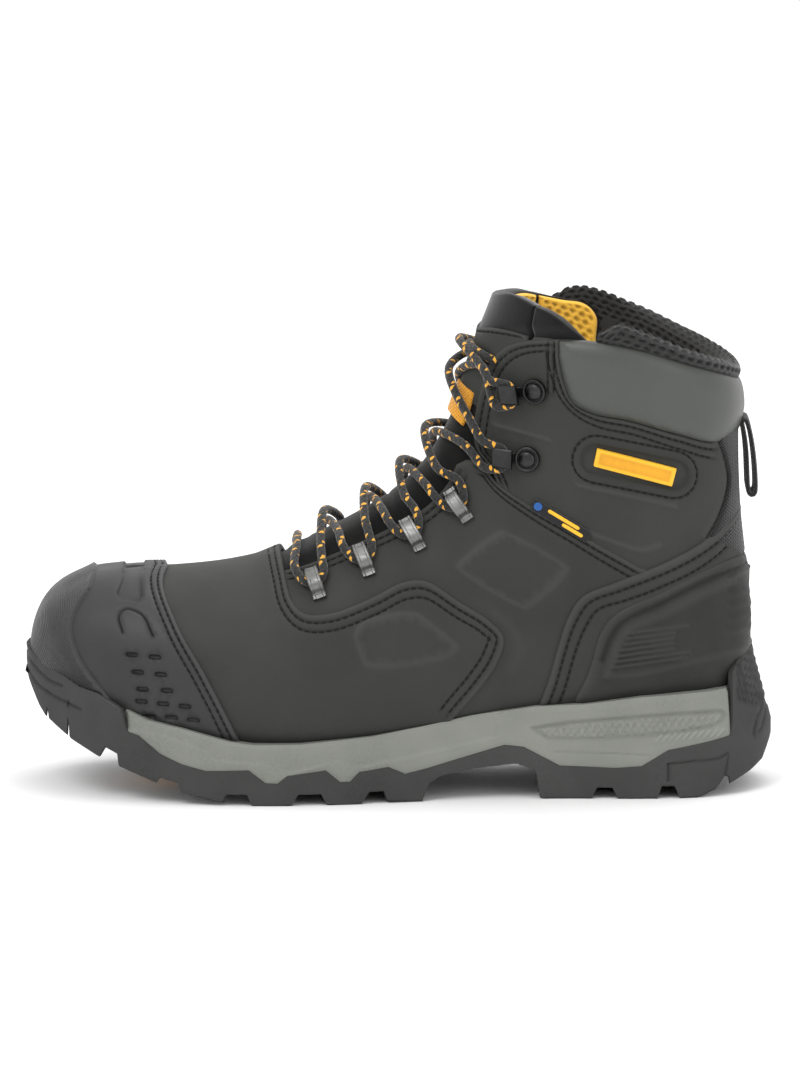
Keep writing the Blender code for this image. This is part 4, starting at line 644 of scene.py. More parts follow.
class Look:
    """A node material built step by step."""

    def __init__(self, name, roughness=0.5, metallic=0.0, **fixed):
        self.material = bpy.data.materials.new(name)
        self.material.use_nodes = True
        self.nodes = self.material.node_tree.nodes
        self.links = self.material.node_tree.links
        self.shader = self.nodes["Principled BSDF"]
        self.shader.inputs["Roughness"].default_value = roughness
        self.shader.inputs["Metallic"].default_value = metallic
        for label, number in fixed.items():
            self.shader.inputs[label.replace("_", " ").title().replace("Ior", "IOR")].default_value = number
        self.place = self.add("ShaderNodeTexCoord").outputs["Object"]
        self.bumps = None

    def add(self, kind, sockets=None, **values):
        """A node with its settings, and a link or a constant on each socket named."""
        node = self.nodes.new(kind)
        for label, number in values.items():
            setattr(node, label, number)
        for label, item in (sockets or {}).items():
            if isinstance(item, bpy.types.NodeSocket):
                self.links.new(item, node.inputs[label])
            else:
                node.inputs[label].default_value = item
        return node

    def stretched(self, stretch):
        if stretch is None:
            return self.place
        return self.add("ShaderNodeMapping", {"Scale": stretch, "Vector": self.place}).outputs["Vector"]

    def noise(self, scale, detail=2.0, stretch=None, rough=0.5):
        sockets = {"Scale": scale, "Detail": detail, "Roughness": rough, "Vector": self.stretched(stretch)}
        return self.add("ShaderNodeTexNoise", sockets).outputs["Fac"]

    def cells(self, scale):
        return self.add("ShaderNodeTexVoronoi", {"Scale": scale, "Vector": self.place}).outputs["Distance"]

    def waves(self, scale, turn):
        turned = self.add("ShaderNodeMapping", {"Rotation": [math.radians(a) for a in turn],
                                                "Vector": self.place})
        sockets = {"Scale": scale, "Vector": turned.outputs["Vector"]}
        return self.add("ShaderNodeTexWave", sockets, wave_profile="SIN").outputs["Fac"]

    def spread(self, source, low, high, to_low=0.0, to_high=1.0):
        sockets = {"Value": source, "From Min": low, "From Max": high, "To Min": to_low, "To Max": to_high}
        return self.add("ShaderNodeMapRange", sockets).outputs["Result"]

    def math(self, operation, a, b):
        return self.add("ShaderNodeMath", {0: a, 1: b}, operation=operation).outputs["Value"]

    def mix(self, share, a, b):
        a, b = ((*item, 1.0) if isinstance(item, tuple) else item for item in (a, b))
        return self.add("ShaderNodeMix", {"Factor": share, 6: a, 7: b}, data_type="RGBA").outputs[2]

    def attribute(self, label):
        return self.add("ShaderNodeAttribute", attribute_name=label).outputs["Fac"]

    def paint_wear_and_shade(self, colour, light, dark, amount=1.0):
        """The colour paled where wear lightens the surface, and darkened with painted shade in its creases
        and grooves.
        """
        wear_and_shade = self.attribute("wear_and_shade")
        colour = self.mix(self.spread(wear_and_shade, 0.0, 1.0, 0.0, amount), colour, light)
        return self.mix(self.spread(wear_and_shade, 0.0, -1.0, 0.0, amount), colour, dark)

    def mottled(self, base, light, dark, clouds, fine, fine_range, sunk):
        """The base colour with lighter and darker clouds, paled by wear on its edges, with painted shade in
        its creases.
        """
        colour = self.mix(self.spread(clouds, 0.35, 0.7), dark, light)
        colour = self.mix(self.spread(fine, *fine_range), colour, base)
        # The darker copy scaled by sunk is painted shade for creases and grooves.
        self.colour(self.paint_wear_and_shade(colour, shade(base, 1.6, 0.012), shade(base, sunk), 0.9))

    def colour(self, source):
        self.links.new(source, self.shader.inputs["Base Color"])

    def roughness(self, source, low, high, low_rough, high_rough):
        rough = self.spread(source, low, high, low_rough, high_rough)
        self.links.new(rough, self.shader.inputs["Roughness"])

    def bump(self, source, depth, strength=1.0):
        sockets = {"Strength": strength, "Distance": depth * MM, "Height": source}
        if self.bumps is not None:
            sockets["Normal"] = self.bumps
        self.bumps = self.add("ShaderNodeBump", sockets).outputs["Normal"]
        self.links.new(self.bumps, self.shader.inputs["Normal"])


def leather(name, base, light, dark, rough, grain, nap, shine):
    look = Look(name, sheen_weight=0.04, sheen_roughness=0.5, specular_ior_level=shine)
    look.mottled(base, light, dark, look.noise(16, 4, rough=0.6), look.noise(620, 3),
                 (0.3, 0.7, 0.35, 0.65), 0.3)
    look.roughness(look.noise(38, 3), 0.3, 0.7, rough - 0.07, rough + 0.08)
    look.bump(look.cells(grain), 0.10, 0.35)
    look.bump(look.noise(nap, 3), 0.09, 0.5)
    look.bump(look.noise(70, 4), 0.35, 0.25)
    return look.material


def rubber(name, base, rough, stipple, depth, light=None, shine=0.25):
    look = Look(name, specular_ior_level=shine)
    light = light or tuple(c * 1.3 + 0.002 for c in base)
    speck = look.noise(stipple, 2)
    look.mottled(base, light, shade(base, 0.7), look.noise(24, 4), speck, (0.35, 0.65, 0.25, 0.75), 0.25)
    look.roughness(look.noise(60, 3), 0.3, 0.7, rough - 0.08, rough + 0.1)
    look.bump(speck, depth, 0.7)
    look.bump(look.cells(stipple * 0.7), depth * 0.8, 0.4)
    return look


def ribbed(name, base, rough):
    """Black rubber with the fine slanting ribs of the toe bumper."""
    look = rubber(name, base, rough, 900, 0.03, shine=0.4)
    look.bump(look.math("MULTIPLY", look.waves(260, (0, 40, 20)), look.attribute("rib")), 0.45, 1.0)
    return look.material


def cloth(name, base, light, thread_scale, depth=0.25):
    """A woven or knitted fabric whose threads cross."""
    rough = 0.9
    look = Look(name, rough, sheen_weight=0.25, sheen_roughness=0.5, specular_ior_level=0.25)
    warp, weft = look.waves(thread_scale, (0, 45, 0)), look.waves(thread_scale, (0, -45, 0))
    weave = look.math("MAXIMUM", warp, weft)
    fuzz = look.noise(900, 3)
    colour = look.mix(look.math("MULTIPLY", weave, look.spread(fuzz, 0.2, 0.8, 0.5, 1.0)), base, light)
    # Where the tint is below 0 the cloth gets painted shade, a darker copy of its base colour.
    look.colour(look.paint_wear_and_shade(colour, light, shade(base, 0.12)))
    look.roughness(fuzz, 0.3, 0.7, rough - 0.1, rough + 0.05)
    look.bump(weave, depth, 0.8)
    look.bump(fuzz, 0.12, 0.5)
    return look.material


def suede(name, base, light):
    look = Look(name, 0.95, sheen_weight=0.45, sheen_roughness=0.4, specular_ior_level=0.15)
    fuzz = look.noise(1300, 4, rough=0.7)
    streaks = look.noise(90, 3, (1, 1, 0.35))
    colour = look.mix(look.spread(streaks, 0.35, 0.68), base, light)
    look.colour(look.mix(look.spread(fuzz, 0.3, 0.75, 0.0, 0.55), colour, base))
    look.roughness(streaks, 0.3, 0.7, 0.86, 1.0)
    look.bump(fuzz, 0.25, 0.7)
    return look.material


def metal(name, base, rough):
    look = Look(name, rough, 1.0)
    scratches = look.noise(260, 4, (1, 1, 6))
    look.colour(look.mix(look.spread(look.noise(120, 3), 0.35, 0.65), base, tuple(c * 1.5 for c in base)))
    look.roughness(scratches, 0.3, 0.7, rough - 0.08, rough + 0.12)
    look.bump(scratches, 0.02, 0.4)
    return look.material


def thread(name, base):
    look = Look(name, 0.7, specular_ior_level=0.2)
    twist = look.waves(700, (0, 35, 20))
    look.colour(look.mix(twist, shade(base, 0.45), base))
    look.roughness(twist, 0, 1, 0.5, 0.75)
    look.bump(twist, 0.08, 0.8)
    return look.material


def lace_look():
    look = Look("lace_braid", 0.75, sheen_weight=0.3, specular_ior_level=0.3)
    fleck, braid = look.attribute("fleck"), look.attribute("braid")
    fuzz = look.noise(1500, 3)
    black = look.mix(look.math("MULTIPLY", braid, look.spread(fuzz, 0.2, 0.8, 0.4, 1.0)),
                     (0.004, 0.004, 0.004), (0.024, 0.024, 0.023))
    gold = look.mix(look.spread(fuzz, 0.3, 0.7), (0.60, 0.27, 0.02), (0.90, 0.47, 0.055))
    look.colour(look.mix(look.spread(fleck, 0.35, 0.6), black, gold))
    look.roughness(fuzz, 0.3, 0.7, 0.66, 0.85)
    look.bump(braid, 0.2, 0.9)
    look.bump(fuzz, 0.08, 0.5)
    return look.material


NUBUCK = leather("nubuck", (0.028, 0.029, 0.0258), (0.036, 0.0372, 0.0335), (0.021, 0.0218, 0.0197),
                 0.64, 900, 520, 0.28)
SMOOTH = leather("collar_leather", (0.052, 0.056, 0.048), (0.062, 0.066, 0.057), (0.041, 0.044, 0.039),
                 0.42, 1500, 800, 0.55)
MOULDED = leather("moulded_leather", (0.024, 0.0248, 0.024), (0.034, 0.035, 0.034), (0.017, 0.0176, 0.017),
                  0.5, 700, 420, 0.36)
COUNTER_LOOK = rubber("counter_rubber", (0.024, 0.0247, 0.0226), 0.58, 800, 0.05).material
BUMPER_LOOK = ribbed("bumper_rubber", (0.016, 0.016, 0.0157), 0.4)
OUTSOLE_LOOK = rubber("outsole_rubber", (0.043, 0.0437, 0.0425), 0.72, 1100, 0.12).material
MIDSOLE_LOOK = rubber("midsole_foam", (0.205, 0.211, 0.19), 0.62, 900, 0.04, (0.24, 0.246, 0.222)).material
TREAD_LOOK = rubber("tread_rubber", (0.50, 0.22, 0.02), 0.6, 900, 0.05).material
LINER = cloth("spacer_mesh", (0.012, 0.012, 0.0118), (0.038, 0.038, 0.0365), 420)
YELLOW_MESH = cloth("yellow_mesh", (0.86, 0.44, 0.03), (1.0, 0.62, 0.09), 520, depth=0.15)
SUEDE = suede("black_suede", (0.006, 0.006, 0.006), (0.015, 0.015, 0.0145))
WEBBING = cloth("black_webbing", (0.006, 0.006, 0.006), (0.020, 0.020, 0.0195), 300, depth=0.35)
GOLD_WEB = cloth("yellow_webbing", (0.55, 0.22, 0.012), (0.90, 0.42, 0.04), 330, depth=0.35)
GUNMETAL = metal("gunmetal", (0.15, 0.15, 0.147), 0.4)
DARK_METAL = metal("dark_gunmetal", (0.034, 0.034, 0.035), 0.36)
STEEL = metal("steel", (0.42, 0.42, 0.41), 0.4)
THREAD = thread("black_thread", (0.012, 0.012, 0.0115))
PLATE = rubber("plate_yellow", (0.80, 0.37, 0.022), 0.4, 500, 0.02, (0.86, 0.41, 0.03)).material
RIBBON = cloth("tag_ribbon", (0.008, 0.008, 0.009), (0.02, 0.02, 0.022), 700, depth=0.1)
BLUE = rubber("tag_blue", (0.015, 0.075, 0.26), 0.5, 700, 0.02).material
STIFFENER = cloth("stiffener_board", (0.02, 0.02, 0.02), (0.05, 0.05, 0.048), 200)
BOARD = cloth("fibre_board", (0.03, 0.03, 0.03), (0.07, 0.07, 0.068), 200)
FOAM = cloth("footbed_cloth", (0.035, 0.035, 0.037), (0.09, 0.09, 0.092), 380)
PLASTIC = rubber("tip_plastic", (0.015, 0.015, 0.015), 0.3, 900, 0.01).material
LACE_LOOK = lace_look()


# ---------------------------------------------------------------- outlines of the upper

SOLE_LATERAL_FINE = smooth_line(SOLE_LATERAL, 1.5)
SOLE_MEDIAL_FINE = smooth_line(SOLE_MEDIAL, 1.5)

VAMP = drawn(VAMP_EDGE)
THROAT = drawn(THROAT_EDGE)
HEEL = drawn(HEEL_EDGE)
COUNTER = drawn(COUNTER_EDGE)
SEAM_LINE = drawn(ANKLE_SEAM)
FRONT_LINE = drawn(ANKLE_FRONT)
COLLAR_EDGE = drawn(COLLAR_TOP)
COLLAR_FRONT = drawn(COLLAR_LOW)
STRIP_SIDE = drawn(STRIP_EDGE)
TIP_RING = 26.0
HEEL_CORNER = float(LAST.knots[13])
HINGE_U = LAST.on_top(35.0)
TONGUE_FRONT = LAST.on_top(-62)
RIM_U = float(LAST.knots[18]) - 1.0
WING_W = 52.0
TUCK = 9.0


def both_sides(half):
    """A closed outline from a lateral half that starts on the top line."""
    return join(half, mirrored(half)[::-1])


def both_heel_sides(half):
    """A closed outline from a lateral half that starts on the heel line."""
    return join(half, round_heel(half)[::-1])


def wrap(points):
    """The points with w counted from the top line round the lateral side, past the heel line."""
    wrapped = points.copy()
    wrapped[:, 1] = wrapped[:, 1] % (2 * HALF_GIRTH)
    return wrapped


VAMP_OUTLINE = both_sides(join((VAMP[0][0], 0.0), VAMP, (VAMP[-1][0], MARGIN), (TIP_RING + 8, MARGIN),
                               (6.0, MARGIN), (6.0, 0.0)))
HEEL_OUTLINE = both_heel_sides(join((HEEL[-1][0], HALF_GIRTH), HEEL[::-1], (HEEL[0][0], MARGIN),
                                    (HEEL_CORNER - 22, MARGIN), (HEEL_CORNER - 6, HALF_GIRTH)))
COLLAR_OUTLINE = both_heel_sides(join((COLLAR_EDGE[-1][0], HALF_GIRTH), COLLAR_EDGE[::-1], COLLAR_FRONT,
                                      (COLLAR_FRONT[-1][0], HALF_GIRTH)))
STRIP_OUTLINE = both_heel_sides(join((STRIP_SIDE[-1][0] + 10, HALF_GIRTH), STRIP_SIDE[-1] + (10, -3),
                                     STRIP_SIDE[::-1], (HEEL[-1][0] - 14, STRIP_SIDE[0][1]),
                                     (HEEL[-1][0] - 14, HALF_GIRTH)))
QUARTER_OUTLINE = join((VAMP[0][0] - 8, 20.0), THROAT, SEAM_LINE, SEAM_LINE[-1] + (4, 6),
                       (HEEL[0][0] + 6, 88.0), (HEEL[0][0] + 6, MARGIN), (VAMP[-1][0] - 8, MARGIN),
                       (VAMP[-1][0] - 8, 70.0), (VAMP[0][0] - 8, 34.0))
BESIDE_COLLAR = COLLAR_FRONT[COLLAR_FRONT[:, 1] < STRIP_SIDE[-1][1] - 2]
ANKLE_OUTLINE = join(FRONT_LINE, BESIDE_COLLAR, STRIP_SIDE[-1] + (6, 0), STRIP_SIDE[::-1],
                     STRIP_SIDE[0] + (-14, 4), SEAM_LINE[-1] + (-4, 6), drawn(((80, 92), (42, 119))))
BUMPER = drawn(BUMPER_EDGE)
BUMPER_OUTLINE = both_sides(join((BUMPER[0][0], 0.0), BUMPER, (BUMPER[-1][0], 92.0), (3.0, 92.0), (3.0, 0.0)))
OVERLAY = drawn(OVERLAY_EDGE)
OVERLAY_HIDDEN = drawn(((-119, 29), (-127, 42), (-140, 55), (-142, 66), (-136, 82)))
OVERLAY_OUTLINE = both_sides(join((OVERLAY[0][0], 0.0), OVERLAY, (OVERLAY[-1][0], 97.0),
                                  (OVERLAY_HIDDEN[0][0], 97.0), OVERLAY_HIDDEN,
                                  (OVERLAY_HIDDEN[-1][0], 0.0)))
COUNTER_OUTLINE = both_heel_sides(join((COUNTER[-1][0], HALF_GIRTH), COUNTER[::-1], (COUNTER[0][0], 98.0),
                                       (HEEL_CORNER - 4, 102.0), (HEEL_CORNER - 4, HALF_GIRTH)))


def throat_w(u):
    """Girth of the throat's edge at each u."""
    line = np.vstack((THROAT, FRONT_LINE))
    order = np.argsort(line[:, 0])
    return np.interp(u, line[order, 0], line[order, 1])


def bar_ring(centre, length, width, tilt, spacing=1.0):
    """A round-ended bar on the side pattern, as a closed (u, w) outline."""
    radius, angle, points = width / 2, math.radians(tilt), []
    for turn, end in ((-90, 1), (90, -1)):
        for k in range(9):
            a = math.radians(turn + 22.5 * k)
            x, y = end * (length / 2 - radius) + radius * math.cos(a), radius * math.sin(a)
            points.append((centre[0] + x * math.cos(angle) - y * math.sin(angle),
                           centre[1] + x * math.sin(angle) + y * math.cos(angle)))
    line = spaced(np.vstack((points, points[:1])), spacing)[:-1]
    return LAST.from_pattern(line)


def four_corners(points, spacing=1.2):
    """A closed outline with sharp corners on the side pattern."""
    return LAST.from_pattern(spaced(np.array((*points, points[0]), float), spacing)[:-1])


# ---------------------------------------------------------------- leather panels

def vamp_high(points):
    return 1.9 + 1.3 * ease(1 - distance(folded(points), VAMP, False) / 14)


def quarter_high(points):
    return 1.75 + 0.75 * ease(1 - distance(folded(points), SEAM_LINE, False) / 12)


def ankle_high(points):
    return np.full(len(points), 1.7)


def heel_high(points):
    wrapped = wrap(points)
    near = np.minimum(distance(wrapped, HEEL, False), distance(wrapped, round_heel(HEEL), False))
    return 2.2 + 1.1 * ease(1 - near / 10)


def sew(edge_line, outline, insets):
    """Lines of stitches at these distances inside an edge."""
    return [beside(edge_line, inset, outline) for inset in insets]


VAMP_SEWN = sew(VAMP, VAMP_OUTLINE, (2.6, 5.4))
THROAT_SEWN = sew(THROAT[distance(THROAT, VAMP_OUTLINE) > 1.0], QUARTER_OUTLINE, (2.2, 4.6))
SEAM_SEWN = sew(SEAM_LINE[6:], QUARTER_OUTLINE, (2.2, 4.8))
HEEL_SEWN = sew(HEEL, HEEL_OUTLINE, (2.3, 5.0))
FRONT_SEWN = sew(FRONT_LINE[6:], ANKLE_OUTLINE, (2.4, 4.8))
COLLAR_SEWN = sew(COLLAR_FRONT, ANKLE_OUTLINE, (2.2, 4.8))
PLATE_AT = (97.8, 130.5)
PLATE_RING = bar_ring(PLATE_AT, 46, 12.5, -11)
PLATE_SEWN = bar_ring(PLATE_AT, 53, 19.5, -11)
PLATE_SEWN = np.vstack((PLATE_SEWN, PLATE_SEWN[:1]))
COLLAR_SIDE_SEWN = [drawn(((x, 161), (x, 182))) for x in (61.3, 63.8)]


def both_quarters(name, outline, low, high, lateral_marks, medial_marks, node):
    """A leather panel of the lateral side and its mirror image, which may have fewer marks."""
    for side, sign in SIDES:
        marks = lateral_marks if sign > 0 else [mark.turned(mirrored) for mark in medial_marks]
        skin(name + side, outline * (1, sign), low, high, NUBUCK, marks, step=2.2, slot="nubuck_leather",
             replaces=(node + side,))


def upper():
    """The leather panels, each with its sewn grooves and embossed shapes, and the webbing up the back."""
    pad = Pad(ring(((-19, 61), (-15, 67), (0, 70.5), (8, 70.5), (26, 56), (20, 51), (0, 47.5), (-14, 47.5))),
              1.8, 0.9, 0.45)
    # Sewn grooves and the plate's recess get painted shade; embossed and raised shapes are paled as wear.
    marks = [Groove(line) for line in VAMP_SEWN] + [pad]
    skin("vamp_leather", VAMP_OUTLINE, 0.5, vamp_high, NUBUCK, both(marks), step=2.4, slot="nubuck_leather",
         replaces=("vamp",))
    diamond = Pad(ring(((21, 89), (43, 106), (73, 89), (53, 70))), 1.8, 1.0, 0.5)
    low_fold = Groove(drawn(((47, 47), (50, 56), (47, 64), (40, 70))), 3.0, 0.25, 0.2)
    marks = [Groove(line) for line in THROAT_SEWN + SEAM_SEWN] + [diamond, low_fold]
    both_quarters("quarter_leather_", QUARTER_OUTLINE, 0.5, quarter_high, marks, marks, "quarter_")
    lines = [Groove(line) for line in FRONT_SEWN + COLLAR_SEWN]
    lines += [Groove(drawn(line), 1.3, 0.6, 0.5) for line in
              (((40, 148), (62, 142)), ((75, 123), (115, 114.5)), ((80, 103), (101, 96.5), (108, 98.5)))]
    lines += [Groove(line) for line in COLLAR_SIDE_SEWN]
    plate = [Pad(PLATE_RING, 1.0, -0.7, -0.6), Groove(PLATE_SEWN)]
    both_quarters("ankle_leather_", ANKLE_OUTLINE, 0.4, ankle_high, lines + plate, lines, "ankle_panel_")
    marks = both([Groove(line) for line in HEEL_SEWN], round_heel)
    skin("heel_leather", HEEL_OUTLINE, 0.8, heel_high, NUBUCK, marks, step=2.4, slot="nubuck_leather",
         replaces=("heel_panel",))
    skin("back_webbing", STRIP_OUTLINE, 0.4, 3.1, WEBBING, step=2.4, slot="back_webbing",
         replaces=("back_strip",), edge_tint=0.0)


def collar_high(points):
    inside = np.maximum(-distance(wrap(points), COLLAR_OUTLINE), 0)
    share = 1 - np.clip(inside / 13, 0, 1)
    return 1.2 + 4.4 * np.sqrt(1 - share**2.4)


def collar():
    """The padded leather collar, crowned between its seams."""
    # Its edges are darkened as painted shade where the padding sinks into the seams.
    pad = skin("collar_padding", COLLAR_OUTLINE, 0.6, collar_high, SMOOTH, step=2.0, radius=0.6,
               edge_tint=-0.5, slot="collar_leather", replaces=("collar_pad",))


# ---------------------------------------------------------------- toe and heel

SLOT_ROWS = ((-110, 53), (-100.5, 52), (-107.5, 46), (-98, 45), (-105.5, 39), (-95.5, 38.5), (-106, 34),
             (-97, 33), (-88, 32), (-102.5, 28), (-93.5, 27.5), (-84.5, 26.5))
OVERLAY_SEWN = sew(OVERLAY, OVERLAY_OUTLINE, (2.2, 5.0))


def eased(points, faces, rounds, share):
    """Points moved towards the mean of their neighbours, by a share of 0 to 1 each."""
    pairs = np.array([pair for face in faces for pair in zip(face, face[1:] + face[:1])])
    pairs = np.unique(np.vstack((pairs, pairs[:, ::-1])), axis=0)
    count = np.bincount(pairs[:, 0], minlength=len(points))[:, None]
    for _ in range(rounds):
        mean = np.column_stack([np.bincount(pairs[:, 0], points[pairs[:, 1], k], len(points))
                                for k in range(3)])
        points = points + 0.6 * share[:, None] * (mean / np.maximum(count, 1) - points)
    return points


def toe():
    """The ribbed rubber bumper with its lip, and the moulded overlay behind it with its slots."""
    ridges = [Groove(drawn(line), 2.2, 0.5, 0.4) for line in (((-147, 75), (-143, 60), (-136, 48)),
                                                              ((-151, 53), (-147, 50), (-140, 44.5),
                                                               (-133, 40.5), (-125, 37)))]
    radius = 1.2
    flat, faces, edge = surface(BUMPER_OUTLINE, both(ridges), 1.5, radius)
    inside = np.abs(distance(flat, edge))
    lip = ease(1 - np.abs(distance(folded(flat), BUMPER, False) - 1.4) / 1.8)
    top = 4.5 + 0.9 * lip - rolled(inside, radius)
    tint = 0.7 * lip
    for mark in both(ridges):
        lift, mark_wear_and_shade = mark.act(flat)
        top, tint = top + lift, np.maximum(tint, mark_wear_and_shade)
    outer = LAST.place(flat[:, 0], flat[:, 1], top)
    outer = eased(outer, faces, 16, (1 - lip) * ease(inside / 3))
    inner = LAST.place(flat[:, 0], flat[:, 1], 2.4)
    rib = np.where(lip > 0.2, 0.0, ease((outer[:, 2] - 44) / 5))
    closed_shell("toe_bumper_rubber", outer, inner, faces, BUMPER_LOOK, tint, slot="toe_rubber",
                 replaces=("toe_bumper",), extra={"rib": np.concatenate((rib, rib))})
    # The overlay's sewn grooves, pressed shapes and slots are darkened as painted shade.
    marks = [Groove(line) for line in OVERLAY_SEWN]
    marks.append(Pad(ring(((-114.5, 89), (-114.5, 83), (-117, 76), (-108, 73.5), (-106, 76), (-107, 84),
                           (-105.5, 89)), 0.9), 0.9, -1.0, -0.9))
    marks.append(Groove(drawn(((-114, 62), (-115.6, 68), (-113, 71), (-106, 68.5), (-101.5, 60.5)), 0.9),
                        0.9, -0.8, -0.9))
    marks += [Pad(bar_ring(place, 5.2, 1.6, -4, 0.8), 0.7, -1.3, -1.0) for place in SLOT_ROWS]
    skin("toe_overlay_leather", OVERLAY_OUTLINE, 2.0, 4.0, MOULDED, both(marks), step=2.0,
         slot="moulded_overlay", replaces=("toe_overlay",))


COUNTER_RECESS = ((86, 44.5), (88, 50), (91, 58), (95, 63.5), (110, 70.5), (120, 76), (130, 81), (140, 86),
                  (146, 89))


def counter_high(points):
    return 3.3 + 0.9 * ease(-distance(wrap(points), COUNTER_OUTLINE) / 5)


def heel_counter():
    """The moulded counter with its recess, its rows of ribs and the ridges at the heel."""
    recess = drawn(COUNTER_RECESS)
    low = drawn(((86, 44.5), (100, 45.5), (120, 50), (135, 54), (147, 58)))
    marks = [Groove(recess, 1.8, 0.75, 0.45), Groove(low, 1.4, 0.45, 0.3)]
    # The groove inside the recess and the pressed lines at the heel are darkened as painted shade.
    marks.append(Groove(beside(recess, 2.2, COUNTER_OUTLINE)[4:], 1.0, -0.7, -0.9))
    for k in range(7):
        height = 48.0 + 2.35 * k
        x0 = 88.5 + 1.15 * k
        x1 = 111 + (8 if k in (0, 1, 6) else 3)
        marks.append(Groove(drawn(((x0, height), (x1, height + 0.14 * (x1 - x0)))), 0.85, 0.8, 0.4))
    for k in range(6):
        height = 62 + 5.0 * k
        marks.append(Groove(drawn(((136, height - 2.5), (142, height - 0.5), (147.5, height + 1))), 2.2,
                            -0.7, -0.35))
    skin("heel_counter_rubber", COUNTER_OUTLINE, 2.2, counter_high, COUNTER_LOOK, both(marks, round_heel),
         step=2.2, slot="moulded_overlay", replaces=("heel_counter",))


def badges():
    """The plain yellow plate in its recess and the small woven side tag."""
    plate = four_corners(((82, 138.2), (115, 130), (113, 122.6), (80.5, 131)), 1.0)
    # The plate's pressed inner edge is darkened a little as painted shade.
    inner = Pad(widened(plate, -1.1), 0.7, -0.25, -0.2)
    skin("side_plate_yellow", plate, 1.0, 2.7, PLATE, [inner], step=1.4, radius=0.5, slot="side_plate",
         replaces=("side_plate",))
    tag = four_corners(((56.5, 117.8), (80, 103.6), (77.6, 99.2), (54.4, 113.4)), 1.0)
    skin("side_tag_ribbon", tag, 1.6, 3.0, RIBBON, step=1.2, radius=0.3, slot="side_tag",
         replaces=("side_tag",), edge_tint=0.2)
    spot = bar_ring((57.9, 114.4), 3.6, 3.4, -30, 0.5)
    skin("side_tag_mark", spot, 2.6, 3.25, BLUE, step=0.8, radius=0.2, slot="side_tag")
    for k, (x, height, length) in enumerate(((68.5, 109.0, 15), (72.0, 104.6, 10))):
        skin(f"side_tag_bar_{k + 1}", bar_ring((x, height), length, 1.5, -31, 0.5), 2.6, 3.2, PLATE,
             step=0.8, radius=0.2, slot="side_tag")


def sewing():
    """All the stitches on the upper, as separate threads."""
    overlay_high = 4.0
    sewn = ((VAMP_SEWN, vamp_high), (THROAT_SEWN, quarter_high), (SEAM_SEWN, quarter_high),
            (FRONT_SEWN, ankle_high), (COLLAR_SEWN, ankle_high),
            (OVERLAY_SEWN, lambda points: np.full(len(points), overlay_high)),
            (COLLAR_SIDE_SEWN, ankle_high))
    rows = [(line * (1, sign), rule) for sign in (1, -1) for lines, rule in sewn for line in lines]
    rows += [(line, heel_high) for line in HEEL_SEWN]
    rows += [(round_heel(line), heel_high) for line in HEEL_SEWN]
    rows.append((PLATE_SEWN, ankle_high))
    stitch_row("upper_stitching", rows)


upper()
collar()
toe()
heel_counter()
badges()
sewing()


# ---------------------------------------------------------------- inside and tongue

def leather_top(w):
    """u of the collar leather's top edge at each girth."""
    return np.interp(w, COLLAR_EDGE[:, 1], COLLAR_EDGE[:, 0])


def dents(along, across, pitch, rows_apart, size, lean=0.0):
    """1 inside the holes of a spacer mesh and 0 on its strands, staggered row by row."""
    far = []
    for shift in (-1, 0, 1):
        row = np.round(across / rows_apart) + shift
        offset = along / pitch - 0.5 * (row % 2) + lean * row
        da = (offset - np.round(offset)) * pitch / size[0]
        db = (across - row * rows_apart) / size[1]
        far.append(np.sqrt(da * da + db * db))
    return 1 - ease((np.min(far, axis=0) - 0.62) / 0.5)


def swept_grid(name, rows, look, tint=None, endless=False, **more):
    """A closed piece from rows of points, one cross-section each; endless joins the last row to the first."""
    rows = np.asarray(rows)
    count, wide = rows.shape[:2]
    faces = []
    for r in range(count if endless else count - 1):
        here, ahead = r * wide, (r + 1) % count * wide
        for k in range(wide):
            near = (k + 1) % wide
            faces.append((here + k, here + near, ahead + near, ahead + k))
    if not endless:
        faces += [tuple(range(wide)), tuple((count - 1) * wide + k for k in range(wide - 1, -1, -1))]
    return piece(name, rows.reshape(-1, 3), faces, look, tint=tint, **more)


ROLL_CREST = ((34, 12.0), (44, 11.0), (52, 8.5), (58, 6.5), (64, 5.2), (72, 4.2), (80, 3.6), (92, 3.5),
              (102, 4.0), (109, 4.9), (115, 5.6))
ROLL_STEP = 0.5
ROLL_HOLES = (3.3, 2.35, (1.3, 0.85), 0.12)
HOLE_DEPTH = 0.8
ROLL_POINTS = 112
ROLL_START, ROLL_END = 49.5, 2 * HALF_GIRTH - 30.0


def roll_section(crest, full, deep):
    """The rim's section, as (rise above the leather, height off the last), and lengths from its crest."""
    spine = ((-5.0, 0.9), (-1.4, 1.2), (0.25 * crest, 1.4 + 1.4 * full), (0.6 * crest, 1.4 + 1.7 * full),
             (0.88 * crest, 0.9 + 1.0 * full), (crest, -0.6), (crest - 1.6, -0.6 - 0.45 * deep),
             (0.35 * crest - 1.5, -0.85 * deep), (-5.0, -deep), (-11.0, -0.95 * deep), (-20.0, -0.85 * deep),
             (-30.0, -0.3 - 0.7 * deep), (-38.0, -0.6 * deep))
    line = smooth_line(spine, 0.4)
    length = np.concatenate(([0.0], np.cumsum(np.linalg.norm(np.diff(line, axis=0), axis=1))))
    want = np.linspace(0, length[-1], ROLL_POINTS)
    section = np.column_stack([np.interp(want, length, line[:, k]) for k in range(2)])
    return section, want - want[int(np.argmax(section[:, 0]))]


